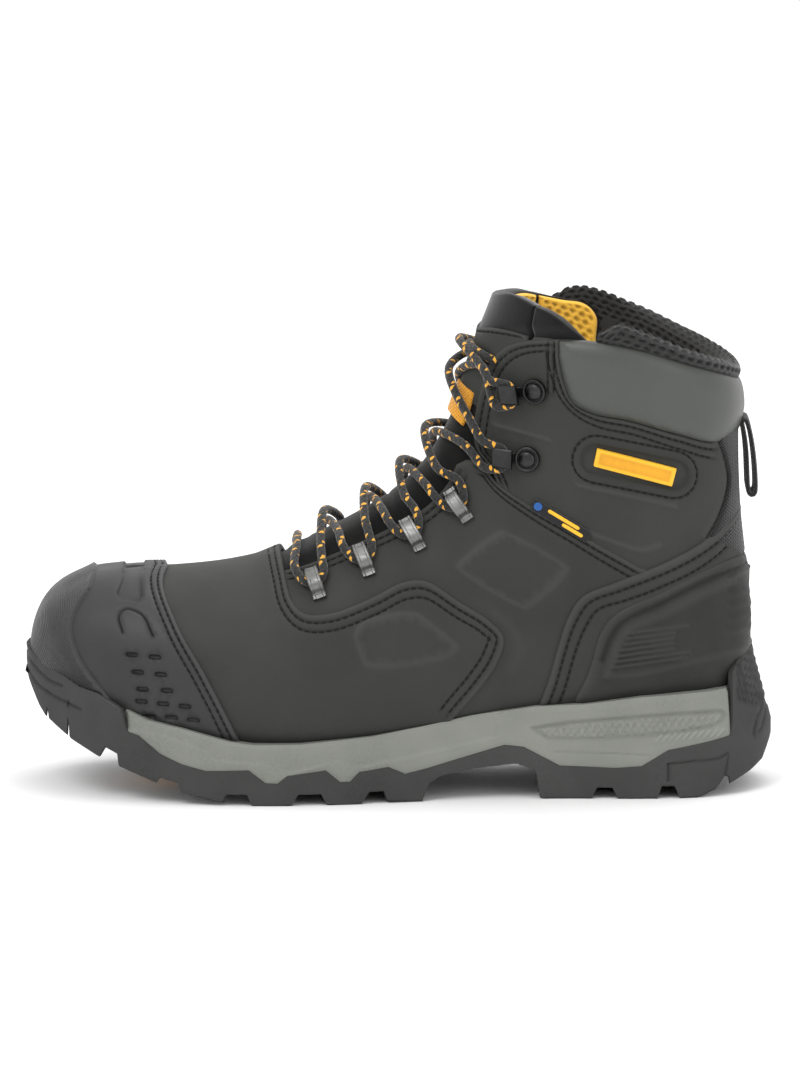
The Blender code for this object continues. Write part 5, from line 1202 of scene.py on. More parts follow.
def roll_row(w, k, count):
    """One section of the collar's padded mesh, and the painted shade that darkens its holes along it."""
    lateral = min(w, 2 * HALF_GIRTH - w)
    near = min(k, count - 1 - k) * ROLL_STEP
    full = ease((near + 0.4) / (8 if w < HALF_GIRTH else 10))
    crest = np.interp(lateral, *zip(*ROLL_CREST)) + 1.5 * (w < HALF_GIRTH) * ease((110 - w) / 15)
    crest = crest * (0.3 + 0.7 * full)
    deep = 2.2 + 3.8 * ease((lateral - WING_W - 2) / 15)
    section, along = roll_section(crest, full * ease((120 - lateral) / 20 + 0.4), deep)
    hole = dents(np.full(len(section), k * ROLL_STEP), along, *ROLL_HOLES)
    hole = hole * ease((section[:, 0] + 3.5) / 3 + (section[:, 1] < 0) * 2)
    way = np.gradient(section, axis=0)
    way /= np.maximum(np.linalg.norm(way, axis=1, keepdims=True), 1e-9)
    drop = HOLE_DEPTH * hole
    edge_u = float(leather_top(lateral))
    u, height = edge_u + section[:, 0] - drop * way[:, 1], section[:, 1] - drop * way[:, 0]
    outer = LAST.place(u, np.full(len(u), w), height)
    back = LAST.place(np.array((edge_u - 34.0, edge_u - 12.0)), np.full(2, w), np.array((-1.9, -1.7)))
    # The holes are darkened as painted shade.
    return np.vstack((outer, back)), np.concatenate((-0.9 * hole, (0.0, 0.0)))


def lining():
    """The padded lining of the shaft and the roll of spacer mesh that rims it."""
    ws = np.linspace(HALF_GIRTH, WING_W + 1.0, 9)
    top = np.column_stack((leather_top(ws) - 2.0, ws))
    side = [(HINGE_U - 4, WING_W + 0.8)]
    side += [(u, throat_w(u) + TUCK + 0.8) for u in np.linspace(HINGE_U - 14, TONGUE_FRONT + 10, 20)]
    half = join((top[0][0], HALF_GIRTH), top, side, (TONGUE_FRONT - 0.8, 22.0), (TONGUE_FRONT - 0.8, 0.0))
    outline = join(half, mirrored(half)[::-1], (top[0][0], -HALF_GIRTH), (1.0, -HALF_GIRTH),
                   (1.0, HALF_GIRTH))
    edge = dense(outline, 2.0)

    def lining_in(points):
        return -2.3 - 1.3 * ease(-distance(points, edge) / 7)

    skin("shaft_lining", outline, lining_in, -0.6, LINER, step=4.0, radius=0.0, edge_tint=0.0,
         slot="mesh_lining", replaces=("lining",))
    ws = np.arange(ROLL_START, ROLL_END, ROLL_STEP)
    made = [roll_row(w, k, len(ws)) for k, w in enumerate(ws)]
    rows, tints = zip(*made)
    roll = swept_grid("collar_mesh", rows, LINER, np.concatenate(tints), slot="mesh_lining",
                      replaces=("collar_roll",))


SEAM_INSET = 2.4
LEATHER_RINGS = (VAMP_OUTLINE, QUARTER_OUTLINE, ANKLE_OUTLINE, COLLAR_OUTLINE)


def tongue_high(points):
    """The tongue's outer face: low where it lies under the leather and full where it is free."""
    free = np.min([distance(folded(points), outline) for outline in LEATHER_RINGS], axis=0)
    lift = 2.2 + 1.0 * ease((points[:, 0] - HINGE_U + 4) / 14)
    lift = lift - 2.6 * ease((-points[:, 1] - 28) / 7) * ease((points[:, 0] - HINGE_U) / 10)
    return -0.4 + lift * ease((free - 0.5) / 7)


LATERAL_RIM = ((HINGE_U - 4, WING_W), (RIM_U - 18, WING_W), (RIM_U - 11.3, 51.3), (RIM_U - 7.3, 48.0),
               (RIM_U - 3.8, 43.0), (RIM_U - 0.5, 37.5), (RIM_U + 0.8, 32.0), (RIM_U + 0.6, 27.4))
MEDIAL_RIM = ((HINGE_U - 4, WING_W), (RIM_U - 13, WING_W), (RIM_U - 4.5, 51.3), (RIM_U - 1.4, 48.4),
              (RIM_U - 0.6, 45.0), (RIM_U - 2.2, 38.5), (RIM_U - 3.0, 32.0), (RIM_U - 3.4, 27.4))
SLIT = ((RIM_U - 6, 27.4), (HINGE_U + 8, 27.3), (HINGE_U, 26.6), (HINGE_U - 4, 24.0))
FLAP_SIDE = ((HINGE_U - 14, 22.0), (HINGE_U, 25.4), (HINGE_U + 12, 26.6), (RIM_U - 6, 26.9))
FLAP_RIM_LATERAL = ((RIM_U + 0.6, 26.9), (RIM_U + 0.9, 21.5), (RIM_U, 14.5), (RIM_U - 3.5, 8.0),
                    (RIM_U - 6.5, 2.0))
FLAP_RIM_MEDIAL = ((RIM_U - 3.5, 26.9), (RIM_U - 3.8, 20.0), (RIM_U - 6.0, 12.0), (RIM_U - 7.2, 4.0))


def inset(points, down, aside, after=0.0):
    """The points moved down the leg and, past a girth, towards the top line."""
    return [(u - down, w - aside * (w > after)) for u, w in points]


def tongue_half(rim):
    """One side of the tongue's outline, from the foot of the throat round its wing and down the slit."""
    side = [(u, throat_w(u) + TUCK) for u in np.linspace(TONGUE_FRONT + 10, HINGE_U - 14, 24)]
    return join((TONGUE_FRONT, 0.0), (TONGUE_FRONT, 22.0), side, smooth_line(rim, 1.5),
                smooth_line(SLIT, 1.5), (HINGE_U - 4.0, 0.0))


def flap_half(side, rim):
    return join(smooth_line(side, 1.5), smooth_line(rim, 1.5))


TONGUE_OUTLINE = join(tongue_half(LATERAL_RIM), mirrored(tongue_half(MEDIAL_RIM))[::-1])
FLAP_OUTLINE = join((HINGE_U - 15, 0.0), flap_half(FLAP_SIDE, FLAP_RIM_LATERAL),
                    mirrored(flap_half(FLAP_SIDE, FLAP_RIM_MEDIAL))[::-1])
FRONT_TOP = smooth_line(((352.5, 37.0), (350, 32.0), (346, 26.3), (343.5, 20.0), (337.5, 12.0), (330.5, 5.0),
                         (327.0, 0.0)), 1.2)


def crowned(inside, reach, height):
    share = 1 - np.clip(inside / reach, 0, 1)
    return height * np.sqrt(np.clip(1 - share**2.4, 0, 1))


def bend(obj):
    """Bakes a piece's placement into its mesh; the two points it finds below and above the hinge are not
    used.
    """
    start, end = LAST.place([HINGE_U - 8, HINGE_U + 5], [0, 0], [-0.4, -0.4]) * MM
    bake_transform(obj)


def flap_high(points):
    return tongue_high(points) + 0.3


def leather_high(points):
    return tongue_high(points) + 1.35


def leather_low(points):
    return tongue_high(points) - 0.2


def tongue():
    """The suede tongue with its wings, its padded top over the hinge, and its yellow mesh lining."""
    # The pressed bands are darkened as painted shade.
    bands = [Groove(np.array(((u, -24.0), (u, 24.0))), 2.2, -0.7, -0.4)
             for u in np.linspace(TONGUE_FRONT + 26, HINGE_U - 50, 4)]
    body = skin("tongue_suede", TONGUE_OUTLINE, -2.6, tongue_high, SUEDE, bands, step=2.4, radius=1.0,
                edge_tint=0.0, slot="tongue_cloth", replaces=("tongue",))
    flap_ring = dense(FLAP_OUTLINE, 2.0)

    def flap_low(points):
        inside = np.maximum(-distance(points, flap_ring), 0)
        tuck = ease((points[:, 0] - (HINGE_U - 15)) / 12)
        return -0.8 - 1.8 * tuck - crowned(inside, 9, 1.2) * tuck

    flap = skin("tongue_top_suede", FLAP_OUTLINE, flap_low, flap_high, SUEDE, step=2.2, radius=1.3,
                edge_tint=0.0, body=None, slot="tongue_cloth", replaces=("tongue_top",))
    bend(flap)
    halves = []
    for rim in (LATERAL_RIM, MEDIAL_RIM):
        halves.append(join((HINGE_U - 40, 0.0), (HINGE_U - 40, 44.0),
                           smooth_line(inset(rim, 0.8, 0.7, 36), 1.2),
                           smooth_line([(u, w + 0.6) for u, w in SLIT[:3]], 1.2), (HINGE_U - 2, 0.0)))
    mesh_piece("tongue_lining_mesh", join(halves[0], mirrored(halves[1])[::-1]), -2.4, -4.4, "boot")
    lateral, medial = (flap_half(inset(FLAP_SIDE[1:], -1.5, 1.0), inset(rim, 1.0, 1.0, 24))
                       for rim in (FLAP_RIM_LATERAL, FLAP_RIM_MEDIAL))
    mesh_piece("tongue_top_mesh", join((HINGE_U + 1.5, 0.0), lateral, mirrored(medial)[::-1]), -3.0, -5.0,
               "tongue_top")
    front_leather()


def mesh_piece(name, outline, high, low, body):
    """A thin pad of yellow spacer mesh on the tongue's inner face, with its holes pressed in and darkened as
    painted shade.
    """
    flat, faces, edge = surface(outline, (), 0.8, 0.0)
    inside = np.abs(distance(flat, edge))
    hole = dents(flat[:, 1], flat[:, 0], 3.6, 3.1, (1.25, 1.25)) * ease(inside - 1.2)
    bottom = low + rolled(inside, 1.6) + HOLE_DEPTH * hole
    tint = np.where(hole > 0.3, -0.55 * hole, 0.0)
    outer = LAST.place(flat[:, 0], flat[:, 1], np.full(len(flat), high))
    inner = LAST.place(flat[:, 0], flat[:, 1], bottom)
    return closed_shell(name, outer, inner, faces, YELLOW_MESH, tint, slot="tongue_cloth", body=body)


def front_leather():
    """The stitched leather facing across the tongue, its side tabs and the small yellow webbing keeper."""
    inner = FRONT_TOP[FRONT_TOP[:, 1] <= 26.4]
    outline = both_sides(join((HINGE_U - 40, 0.0), (HINGE_U - 40, 23.0), (HINGE_U - 14, 24.6),
                              (HINGE_U, 25.4), (HINGE_U + 12, 26.3), inner))
    sewn = beside(inner, SEAM_INSET, outline)
    sewn = join(mirrored(sewn), sewn[::-1]) if sewn[0][1] > sewn[-1][1] else join(mirrored(sewn)[::-1], sewn)
    # The sewn grooves on the facing and on the side tabs are darkened as painted shade.
    bend(skin("tongue_front_leather", outline, leather_low, leather_high, NUBUCK, [Groove(sewn)], body=None,
              slot="nubuck_leather"))
    bend(stitch_row("tongue_front_stitching", [(sewn, leather_high)], body=None))
    rows = []
    outer = FRONT_TOP[FRONT_TOP[:, 1] >= 27.2]
    tab = join((HINGE_U - 16, 27.6), (HINGE_U - 12, 44.0), (348, 46.0), (355.5, 42.0), outer, (345, 27.4))
    for side, sign in SIDES:
        sewn = beside(outer * (1, sign), SEAM_INSET, tab * (1, sign))
        skin("gusset_leather_" + side, tab * (1, sign), leather_low, leather_high, NUBUCK, [Groove(sewn)],
             slot="nubuck_leather")
        rows.append((sewn, leather_high))
    stitch_row("gusset_stitching", rows)
    u0, u1 = LAST.on_top(24.0), LAST.on_top(28.6)
    keeper = np.array(((u0, -8.5), (u1, -8.5), (u1, 8.5), (u0, 8.5)), float)
    skin("tongue_keeper_webbing", keeper, lambda p: leather_high(p) - 0.4, lambda p: leather_high(p) + 0.9,
         GOLD_WEB, step=1.5, radius=0.5, edge_tint=0.0, slot="keeper_webbing", replaces=("tongue_keeper",))


def footbed():
    """The loose padded footbed, higher at its rim and at the heel."""
    bed = both_heel_sides(join((HEEL_CORNER - 10, HALF_GIRTH), (HEEL_CORNER - 16, 100),
                               (HEEL_CORNER - 30, 91), (170, 87), (140, 88), (70, 90), (46, 96),
                               (34, HALF_GIRTH)))
    low = -5.1

    def bed_top(points):
        inside = np.maximum(-distance(wrap(points), bed), 0)
        return low - 2.0 - 1.3 * ease(inside / 6) - 1.6 * ease((points[:, 0] - 170) / 60)

    pad = skin("footbed_cloth", bed, bed_top, low, FOAM, step=4.0, radius=0.4, edge_tint=0.0,
               slot="footbed_foam", replaces=("footbed",))


lining()
tongue()
footbed()


# ---------------------------------------------------------------- sole

def profile(points):
    xs, zs = zip(*points)
    return lambda x: np.interp(x, xs, zs)


TREAD_HEIGHT = ((-156, 48), (-154, 43), (-150, 35), (-147.2, 31), (-146.8, 34.5), (-146.2, 34.5),
                (-145.8, 30.2), (-139, 25.6), (-137.9, 25), (-137.7, 32), (-137.2, 32), (-136.9, 24),
                (-124.7, 17.8), (-124, 18.2), (-121.8, 22), (-116.7, 19.6), (-116.2, 14.6), (-100.5, 8.6),
                (-99, 10.8), (-91, 8.8), (-90.6, 5), (-73, 1.5), (-71.4, 4.6), (-62.8, 4.6), (-60.8, 0),
                (-44.2, 0), (-41.4, 4.6), (-32, 4.6), (-29.6, 0), (-15.2, 0), (-12, 5.0), (-6, 5.0),
                (-4.6, 0.8), (10, 0), (12.5, 7.4), (18, 10.8), (26, 12.2), (34, 13.5), (49, 15), (57, 12),
                (58.6, 0.6), (60, 0), (80.4, 0), (82.4, 4.6), (88.8, 4.6), (91, 0), (107.6, 0),
                (109.4, 5.2), (114.6, 5.2), (117, 0), (125, 0), (132, 3), (136.2, 8.3), (137.6, 7.6),
                (138, 4.6), (148, 9), (152, 12), (156, 21))
TREAD = profile(TREAD_HEIGHT)
WAIST = profile(WAIST_HEIGHT)
FEATHER = profile(FEATHER_HEIGHT)
EVEN_TREAD = (-156, -154, -150, -139, -124.7, 18, 26, 34, 49, 57, 125, 132, 148, 152, 156)
TREAD_STEPS = [x for x, _ in TREAD_HEIGHT if x not in EVEN_TREAD]
GREY_FRONT, GREY_BACK = -112.0, 138.0
CHANNELS = ((-112, 4), (66, 130))
FLOOR = profile(((-156, 44), (-143, 34), (-125, 26.5), (-109, 22.5), (-86, 19), (-60, 17), (-34, 17),
                 (-8, 19), (20, 22), (52, 25.5), (92, 28.5), (132, 34), (145, 46), (156, 56)))


MOULD = profile(((-120, 22), (-100, 20), (-90, 17), (-80, 13.5), (-76, 10), (-60, 8.7), (-55, 8.6),
                 (-52, 7), (-50, 5), (-45, 4.8), (-35, 7), (-28, 9), (-24, 9), (-20, 6.8), (-15, 6.7),
                 (-5, 8.5), (5, 10), (20, 13), (40, 17), (50, 60), (150, 60)))


def shell_only(x):
    """1 where the outsole covers the midsole's side, at the toe and the heel, and 0 between."""
    return np.maximum(ease((GREY_FRONT - x) / 3.5), ease((x - GREY_BACK) / 3.5))


def heel_lean(x, z):
    return 8.0 * ease((x - 122) / 34) * np.clip((z - 27) / 31, 0, 1)


def sole_rows(start, end):
    """Row positions along the sole, closer at the toe, the heel and each step of the profiles."""
    rows = list(np.arange(start, end + 0.01, 1.5))
    rows += list(np.arange(-156, -110, 0.8)) + list(np.arange(128, 156, 0.8))
    rows += [x for x, _ in WAIST_HEIGHT + FEATHER_HEIGHT]
    rows += [x + d for x in TREAD_STEPS for d in (-0.12, 0.12)]
    rows = sorted({round(float(x), 2) for x in rows if start <= x <= end} | {float(start), float(end)})
    kept = [rows[0]]
    for x in rows[1:-1]:
        if x - kept[-1] > 0.2:
            kept.append(x)
    return np.array(kept + [rows[-1]])


def pattern_height(points):
    """Height of world points on the side pattern, the same for both sides of the boot."""
    return points[:, 2] * math.cos(PATTERN_LEAN) - np.abs(points[:, 1]) * math.sin(PATTERN_LEAN)


def wall_marks(points, inward, marks):
    """Moves wall points along their outward direction by each mark of the side pattern."""
    lift, tint = applied(marks, np.column_stack((points[:, 0], pattern_height(points))),
                         np.zeros(len(points)))
    moved = points.copy()
    moved[:, :2] -= inward * lift[:, None]
    return moved, tint


UNDER_Y = (22.0, 15.4, 14.8, 5.0)
CHANNEL_HALF = 15


def sole_body(name, rows, wall_low, wall_high, inset, rim, inner, levels, marks, bottom, look, slot,
              replaces):
    """A closed sole layer: a detailed wall round the plan, a rim, a drop to its floor and an underside.

    rim is its top edge's width, inner its floor's height and bottom its underside's height at (x, y)."""
    low, high = wall_low(rows), wall_high(rows)
    plain = np.zeros(len(rows))
    sides = []
    for line, inward in sole_edges(rows):
        strips = []
        for share in levels:
            z = low + (high - low) * share
            flat = line + inset(rows, z, share)[:, None] * inward
            strips.append(wall_marks(np.column_stack((flat, z)), inward, marks))
        for extra, z in ((rim, high - 0.1), (rim + 0.6, np.minimum(inner(rows), high - 0.2))):
            flat = line + (inset(rows, high, 1.0) + extra)[:, None] * inward
            strips.append((np.column_stack((flat, z)), plain))
        sides.append(strips)
    lateral, medial = sides
    a, b = lateral[-1][0], medial[-1][0]
    across = [(a + (b - a) * share, plain) for share in (0.25, 0.5, 0.75)]
    under = []
    start, end = medial[0][0], lateral[0][0]
    for y in (*UNDER_Y, *(-y for y in UNDER_Y[::-1])):
        width = np.maximum(np.abs(start[:, 1] if y > 0 else end[:, 1]), 0.5)
        reach = (0.86 if abs(y) > 5 else 0.3) * width
        spot = np.clip(y, -reach, reach)
        line = np.column_stack((rows, spot, bottom(rows, abs(y) < CHANNEL_HALF)))
        # The underside is darkened a little as painted shade.
        under.append((line, plain - 0.2))
    section = lateral + across + medial[::-1] + under
    grid = np.stack([strip for strip, _ in section], axis=1)
    tint = np.stack([mark_wear_and_shade for _, mark_wear_and_shade in section], axis=1)
    return swept_grid(name, grid, look, tint.reshape(-1), slot=slot, replaces=replaces, sharp=32)


def outsole():
    """The black rubber outsole, with its lugs, its channels and the walls that wrap the toe and the heel."""
    def high(x):
        over = shell_only(x)
        return WAIST(x) * (1 - over) + FEATHER(x) * over

    def inset(x, z, share):
        bevel = 0.9 * (1 - ease(share / 0.04)) + 0.5 * ease((share - 0.97) / 0.03)
        return heel_lean(x, z) + bevel * ease((156 - np.abs(x)) / 3)

    def under(x, channel):
        height = TREAD(x)
        for start, end in CHANNELS if channel else ():
            height = height + 5.2 * ease((x - start) / 0.6) * ease((end - x) / 0.6)
        return height

    lines = [(((-155.5, 60), (-150, 53), (-145, 49), (-139, 46)), 1.0, -0.7),
             (((-156, 53), (-150, 46), (-145, 42), (-140, 40)), 1.0, -0.7),
             (((-156, 47), (-150, 40), (-144, 36), (-132, 30)), 1.0, -0.7),
             (((-148, 57), (-140, 49), (-128, 41), (-117, 32)), 1.2, 0.5),
             (((148, 20), (150, 27), (153, 33), (154.5, 36), (151.5, 22), (149, 19), (148, 20)), 0.8, -0.7),
             (((112, 7.5), (122, 8.5), (134, 10), (137, 12), (136, 3)), 0.8, -0.5),
             (((112, 7.5), (112, 0.5)), 0.8, -0.5)]
    lines += [(((141, 35 + rise), (147, 33 + rise), (153, 32 + rise)), 1.1, -0.8)
              for rise in 3.4 * np.arange(7)]
    # Pressed lines are darkened as painted shade and raised ones paled as wear.
    marks = [Groove(smooth_line(points, 1.5), width, amount, -0.7 if amount < 0 else 0.6)
             for points, width, amount in lines]
    rows = sole_rows(-156, 156)
    levels = np.concatenate(((0, 0.02, 0.045), np.linspace(0.09, 0.94, 26), (0.97, 0.985, 1.0)))
    sole_body("outsole_tread", rows, TREAD, high, inset, 2.4, lambda x: np.minimum(high(x), FLOOR(x)) - 0.6,
              levels, marks, under, OUTSOLE_LOOK, "outsole_rubber", ("outsole",))


def midsole():
    """The grey foam midsole, with its moulded step and the recessed panel of crossing ribs at the heel."""
    def inset(x, z, share):
        half_width = 50
        height = z * math.cos(PATTERN_LEAN) - half_width * math.sin(PATTERN_LEAN)
        return (heel_lean(x, z) + 0.9 + 3.0 * shell_only(x) + 0.9 * ease((height - MOULD(x) + 0.6) / 1.6)
                + 0.9 * ease((share - 0.9) / 0.1))

    def low(x):
        return WAIST(x) - 0.6

    def high(x):
        return FEATHER(np.minimum(x, 138.5))

    def under(x, channel):
        return np.minimum(low(x), FLOOR(x) - 1.0)

    panel = np.array(((55, 22.5), (70, 25), (100, 27.5), (120, 29), (134, 30), (136.5, 28), (135, 25),
                      (130, 22.5), (115, 20), (100, 18.5), (80, 17.5), (62, 17.5)), float)
    # The recessed panel's edge and the pressed moulded line below it are darkened as painted shade.
    marks = [Pad(spaced(np.vstack((panel, panel[:1])), 1.5)[:-1], 1.4, -0.8, -0.25)]
    inner = widened(panel, -1.2)
    for k in range(30):
        x = 50 + 3.1 * k
        for run in (9.0, -9.0):
            line = np.array([(x + run * (t - 0.5), 16 + 14 * t) for t in np.linspace(0, 1, 15)])
            line = line[distance(line, inner) < 0]
            if len(line) > 2:
                marks.append(Groove(line, 0.7, 0.5, 0.2))
    for k in range(10):
        x = 108 + 2.9 * k
        marks.append(Groove(np.array(((x - 1.5, 16.6 + 0.28 * k), (x + 1.2, 19.6 + 0.28 * k))), 0.8, 0.5,
                            0.3))
    marks.append(Groove(smooth_line(((65, 12.5), (85, 12), (105, 11)), 2), 0.6, -0.25, -0.2))
    rows = np.unique(np.round(np.concatenate((sole_rows(-119, 143), np.arange(50, 140, 0.65))), 2))
    rows = rows[np.concatenate(([True], np.diff(rows) > 0.15))]
    levels = np.concatenate((np.linspace(0, 0.94, 42), (0.97, 1.0)))
    sole_body("midsole_foam", rows, low, high, inset, 7.0, lambda x: np.minimum(FLOOR(x), high(x) - 0.4),
              levels, marks, under, MIDSOLE_LOOK, "midsole_foam", ("midsole",))


outsole()
midsole()


# ---------------------------------------------------------------- lacing hardware

class Mount:
    """A spot on the upper with three directions: up the fitting's line, across it and off the surface."""

    def __init__(self, low, high, sign, share):
        ends = LAST.from_pattern((low, high)) * (1, sign)
        self.low, self.high = ends
        start, end = LAST.place(ends[:, 0], ends[:, 1])
        line = end - start
        self.length = float(np.linalg.norm(line))
        u, w = self.low + (self.high - self.low) * share
        self.origin = LAST.place(u, w)[0]
        self.out = unit(LAST.normal(u, w))
        self.up = unit(line - self.out * (line @ self.out))
        forward = LAST.place(u + 1, w)[0] - LAST.place(u - 1, w)[0]
        self.side = unit(np.cross(self.up, self.out))
        self.side = self.side if self.side @ forward > 0 else -self.side

    def along(self, profile_points):
        """World points for (distance from the low end, height off the last)."""
        spots = []
        for far, height in profile_points:
            u, w = self.low + (self.high - self.low) * far / self.length
            spots.append(LAST.place(u, w, height)[0])
        return spots

    def at(self, up, side, height):
        return self.origin + self.up * up + self.side * side + self.out * height


CLIP_SHAPE = ((-7.6, 2.9), (-5.2, 2.9), (-3.9, 7.7), (3.5, 7.7), (5.2, 2.9), (7.6, 2.9))
HOOK_SHAPE = ((-4.6, 2.9), (8.8, 2.9), (12.4, 3.8), (13.6, 6.3), (12.4, 8.9), (4.6, 9.4))


def clip_mount(k, sign):
    high, low = CLIPS[k]
    return Mount(low, high, sign, 0.5)


def hook_mount(k, sign):
    return Mount(*HOOKS[k], sign, 0.0)


def rounded(path, rounds=3, share=0.22, closed=False):
    """The path with its corners eased, keeping its ends where it is open."""
    path = np.asarray(path, float)
    for _ in range(rounds):
        after = np.roll(path, -1, axis=0) if closed else path[1:]
        before = path if closed else path[:-1]
        cut = np.stack(((1 - share) * before + share * after, share * before + (1 - share) * after), axis=1)
        cut = cut.reshape(-1, path.shape[1])
        path = cut if closed else np.vstack((path[:1], cut[1:-1], path[-1:]))
    return path


def strap(path, across, width, thick, section, closed=False):
    """Cross-sections of a strip along a path; section lists (across, height) shares from -1 to 1."""
    across = unit(np.asarray(across, float))
    rows, count = [], len(path)
    for k in range(count):
        if closed:
            run = path[(k + 1) % count] - path[k - 1]
        else:
            run = path[min(k + 1, count - 1)] - path[max(k - 1, 0)]
        out = unit(np.cross(unit(run), across))
        rows.append([path[k] + across * a * width / 2 + out * h * thick / 2 for a, h in section])
    return rows


def bevelled(inset, groove=0.0):
    """A flat strip's section with eased corners, and a shallow channel on both faces if groove is above 0."""
    half = [(-1, -1 + 2 * inset), (-1 + inset * 0.6, -1), (-0.62, -1), (-0.5, -1 + groove),
            (0.5, -1 + groove), (0.62, -1), (1 - inset * 0.6, -1), (1, -1 + 2 * inset)]
    return half + [(-a, -h) for a, h in half]


def loops_and_hooks():
    """Closed lace loops, open hooks and their riveted rings, up both sides of the throat."""
    for side, sign in SIDES:
        for k in range(len(CLIPS)):
            mount = clip_mount(k, sign)
            path = rounded(mount.along([(mount.length / 2 + far, height) for far, height in CLIP_SHAPE]))
            rows = strap(path, mount.side, 5.6, 1.5, bevelled(0.2, 0.35))
            swept_grid(f"lace_loop_metal_{side}_{k + 1}", rows, GUNMETAL, slot="gunmetal", sharp=28,
                       replaces=(f"lace_loop_{side}_{k + 1}",))
        for k in range(len(HOOKS)):
            mount = hook_mount(k, sign)
            rows = strap(rounded(mount.along(HOOK_SHAPE)), mount.side, 6.4, 1.3, bevelled(0.2))
            for row, share in zip(rows, np.linspace(0, 1, len(rows))):
                wider = 0.25 * ease((share - 0.72) / 0.1) - 0.3 * ease((0.35 - share) / 0.3)
                middle = sum(row) / len(row)
                row[:] = [p + mount.side * ((p - middle) @ mount.side) * wider for p in row]
            swept_grid(f"lace_hook_metal_{side}_{k + 1}", rows, DARK_METAL, slot="gunmetal", sharp=28,
                       replaces=(f"lace_hook_{side}_{k + 1}",))
            rivet(f"hook_rivet_head_{side}_{k + 1}", mount, (f"hook_rivet_{side}_{k + 1}",))


def rivet(name, mount, replaces):
    """A domed rivet head inside a raised ring."""
    shape = ((5.3, 2.4), (5.5, 3.2), (5.2, 3.9), (4.7, 4.1), (4.2, 3.9), (4.0, 3.4), (3.7, 3.4), (3.6, 3.9),
             (3.3, 4.5), (2.4, 5.0), (1.2, 5.25), (0.3, 5.3))
    rows = []
    for radius, height in shape:
        rows.append([mount.at(radius * math.cos(a), radius * math.sin(a), height)
                     for a in np.linspace(0, 2 * math.pi, 28, endpoint=False)])
    swept_grid(name, rows, DARK_METAL, slot="gunmetal", sharp=40, replaces=replaces)


# ---------------------------------------------------------------- lace

CROSS_X = (-27, -9, 7, 19, 29.5)
LACE_LOW, LACE_OVER, LACE_SIDE = 4.5, 9.0, 5.6


def clip_turn(k, sign):
    """The lace's turn under a loop, in from the toe side and out on the heel side."""
    mount = clip_mount(k, sign)
    turn = ((9.0, -6.2, 4.9), (3.4, -5.0, 4.7), (-0.1, -2.7, 4.6), (-0.9, 0.0, 4.6), (-0.1, 2.7, 4.6),
            (3.4, 5.0, 4.7), (9.0, 5.6, 4.9))
    return [mount.at(*place) for place in turn]


def hook_turn(k, sign):
    """The lace's turn behind a hook's neck, in from below and out above."""
    mount = hook_mount(k, sign)
    turn = ((17.5, -4.0, 5.8), (13.0, -4.6, 5.9), (9.8, -3.6, 5.9), (8.7, 0.0, 5.9), (9.8, 3.8, 5.9),
            (13.0, 5.2, 5.9), (18.0, 6.6, 5.6))
    return [mount.at(*place) for place in turn]


def over_tongue(k, off):
    return LAST.place(LAST.on_top(CROSS_X[k]), 0.0, off)[0]


def shoulder(k, sign, after, off=LACE_SIDE):
    """A lace point between a crossing and the fittings beside it."""
    x = CROSS_X[k] + (3.5 if after else -3.5)
    return LAST.place(LAST.on_top(x), 13.0 * sign, off)[0]


def lace_half(first):
    """One half of the lace from the bar at the throat's foot to its tip, starting on one side."""
    path = [LAST.place(LAST.on_top(-41), 9.0 * first, LACE_LOW)[0]]
    sign = first
    for k in range(5):
        path += clip_turn(k, sign) if k < 4 else hook_turn(0, sign)
        over = (k % 2 == 0) == (first > 0)
        rise = 6.4 if over else LACE_SIDE
        path += [shoulder(k, sign, False, rise), over_tongue(k, LACE_OVER if over else LACE_LOW),
                 shoulder(k, -sign, True, rise)]
        sign = -sign
    path += hook_turn(1, sign)
    over = first < 0
    top = HINGE_U
    route = ((top - 10, 13.0, 6.4 if over else LACE_SIDE), (top - 7, 0.0, LACE_OVER if over else LACE_LOW),
             (top - 6, -7.5, 6.2 if over else 4.6), (top - 5, -12.0, 2.6), (top - 4.5, -16.0, -0.6),
             (top - 4.5, -21.0, -1.3), (top - 5, -26.5, -3.6), (top - 7, -27.6, -6.6),
             (top - 13, -26.8, -8.8))
    path += [LAST.place(u, w * sign, off)[0] for u, w, off in route]
    return path


def tube_rows(path, sides, radius):
    """Cross-sections round a path, turned as little as possible along it; radius is a rule of the row."""
    run = np.gradient(path, axis=0)
    run /= np.maximum(np.linalg.norm(run, axis=1, keepdims=True), 1e-9)
    side = unit(np.cross(run[0], (0.3, 0.5, 0.8)))
    angle = np.linspace(0, 2 * math.pi, sides, endpoint=False)
    rows = []
    for k in range(len(path)):
        side = unit(side - run[k] * (side @ run[k]))
        other = np.cross(run[k], side)
        rows.append(path[k] + (np.cos(angle) * radius(k))[:, None] * side
                    + (np.sin(angle) * radius(k))[:, None] * other)
    return rows


LACE_LINE = lace_half(1)[::-1] + lace_half(-1)
LACE_STEP, LACE_SIDES, TIP_SIDES = 0.62, 14, 12
LACE_CORE, BRAID_RISE, FLECK_RISE = 1.66, 0.16, 0.04
STRANDS, BRAID_TURN = 4, 2.1
FLECK_SPACING, FLECK_PAIR, FLECK_TURN = 8.4, (0.25, 0.55), 0.9
TIP_SHAPE = ((0.3, 1.5), (0.6, 1.8), (4, 1.75), (8, 1.7), (11.4, 1.6), (12, 1.1))


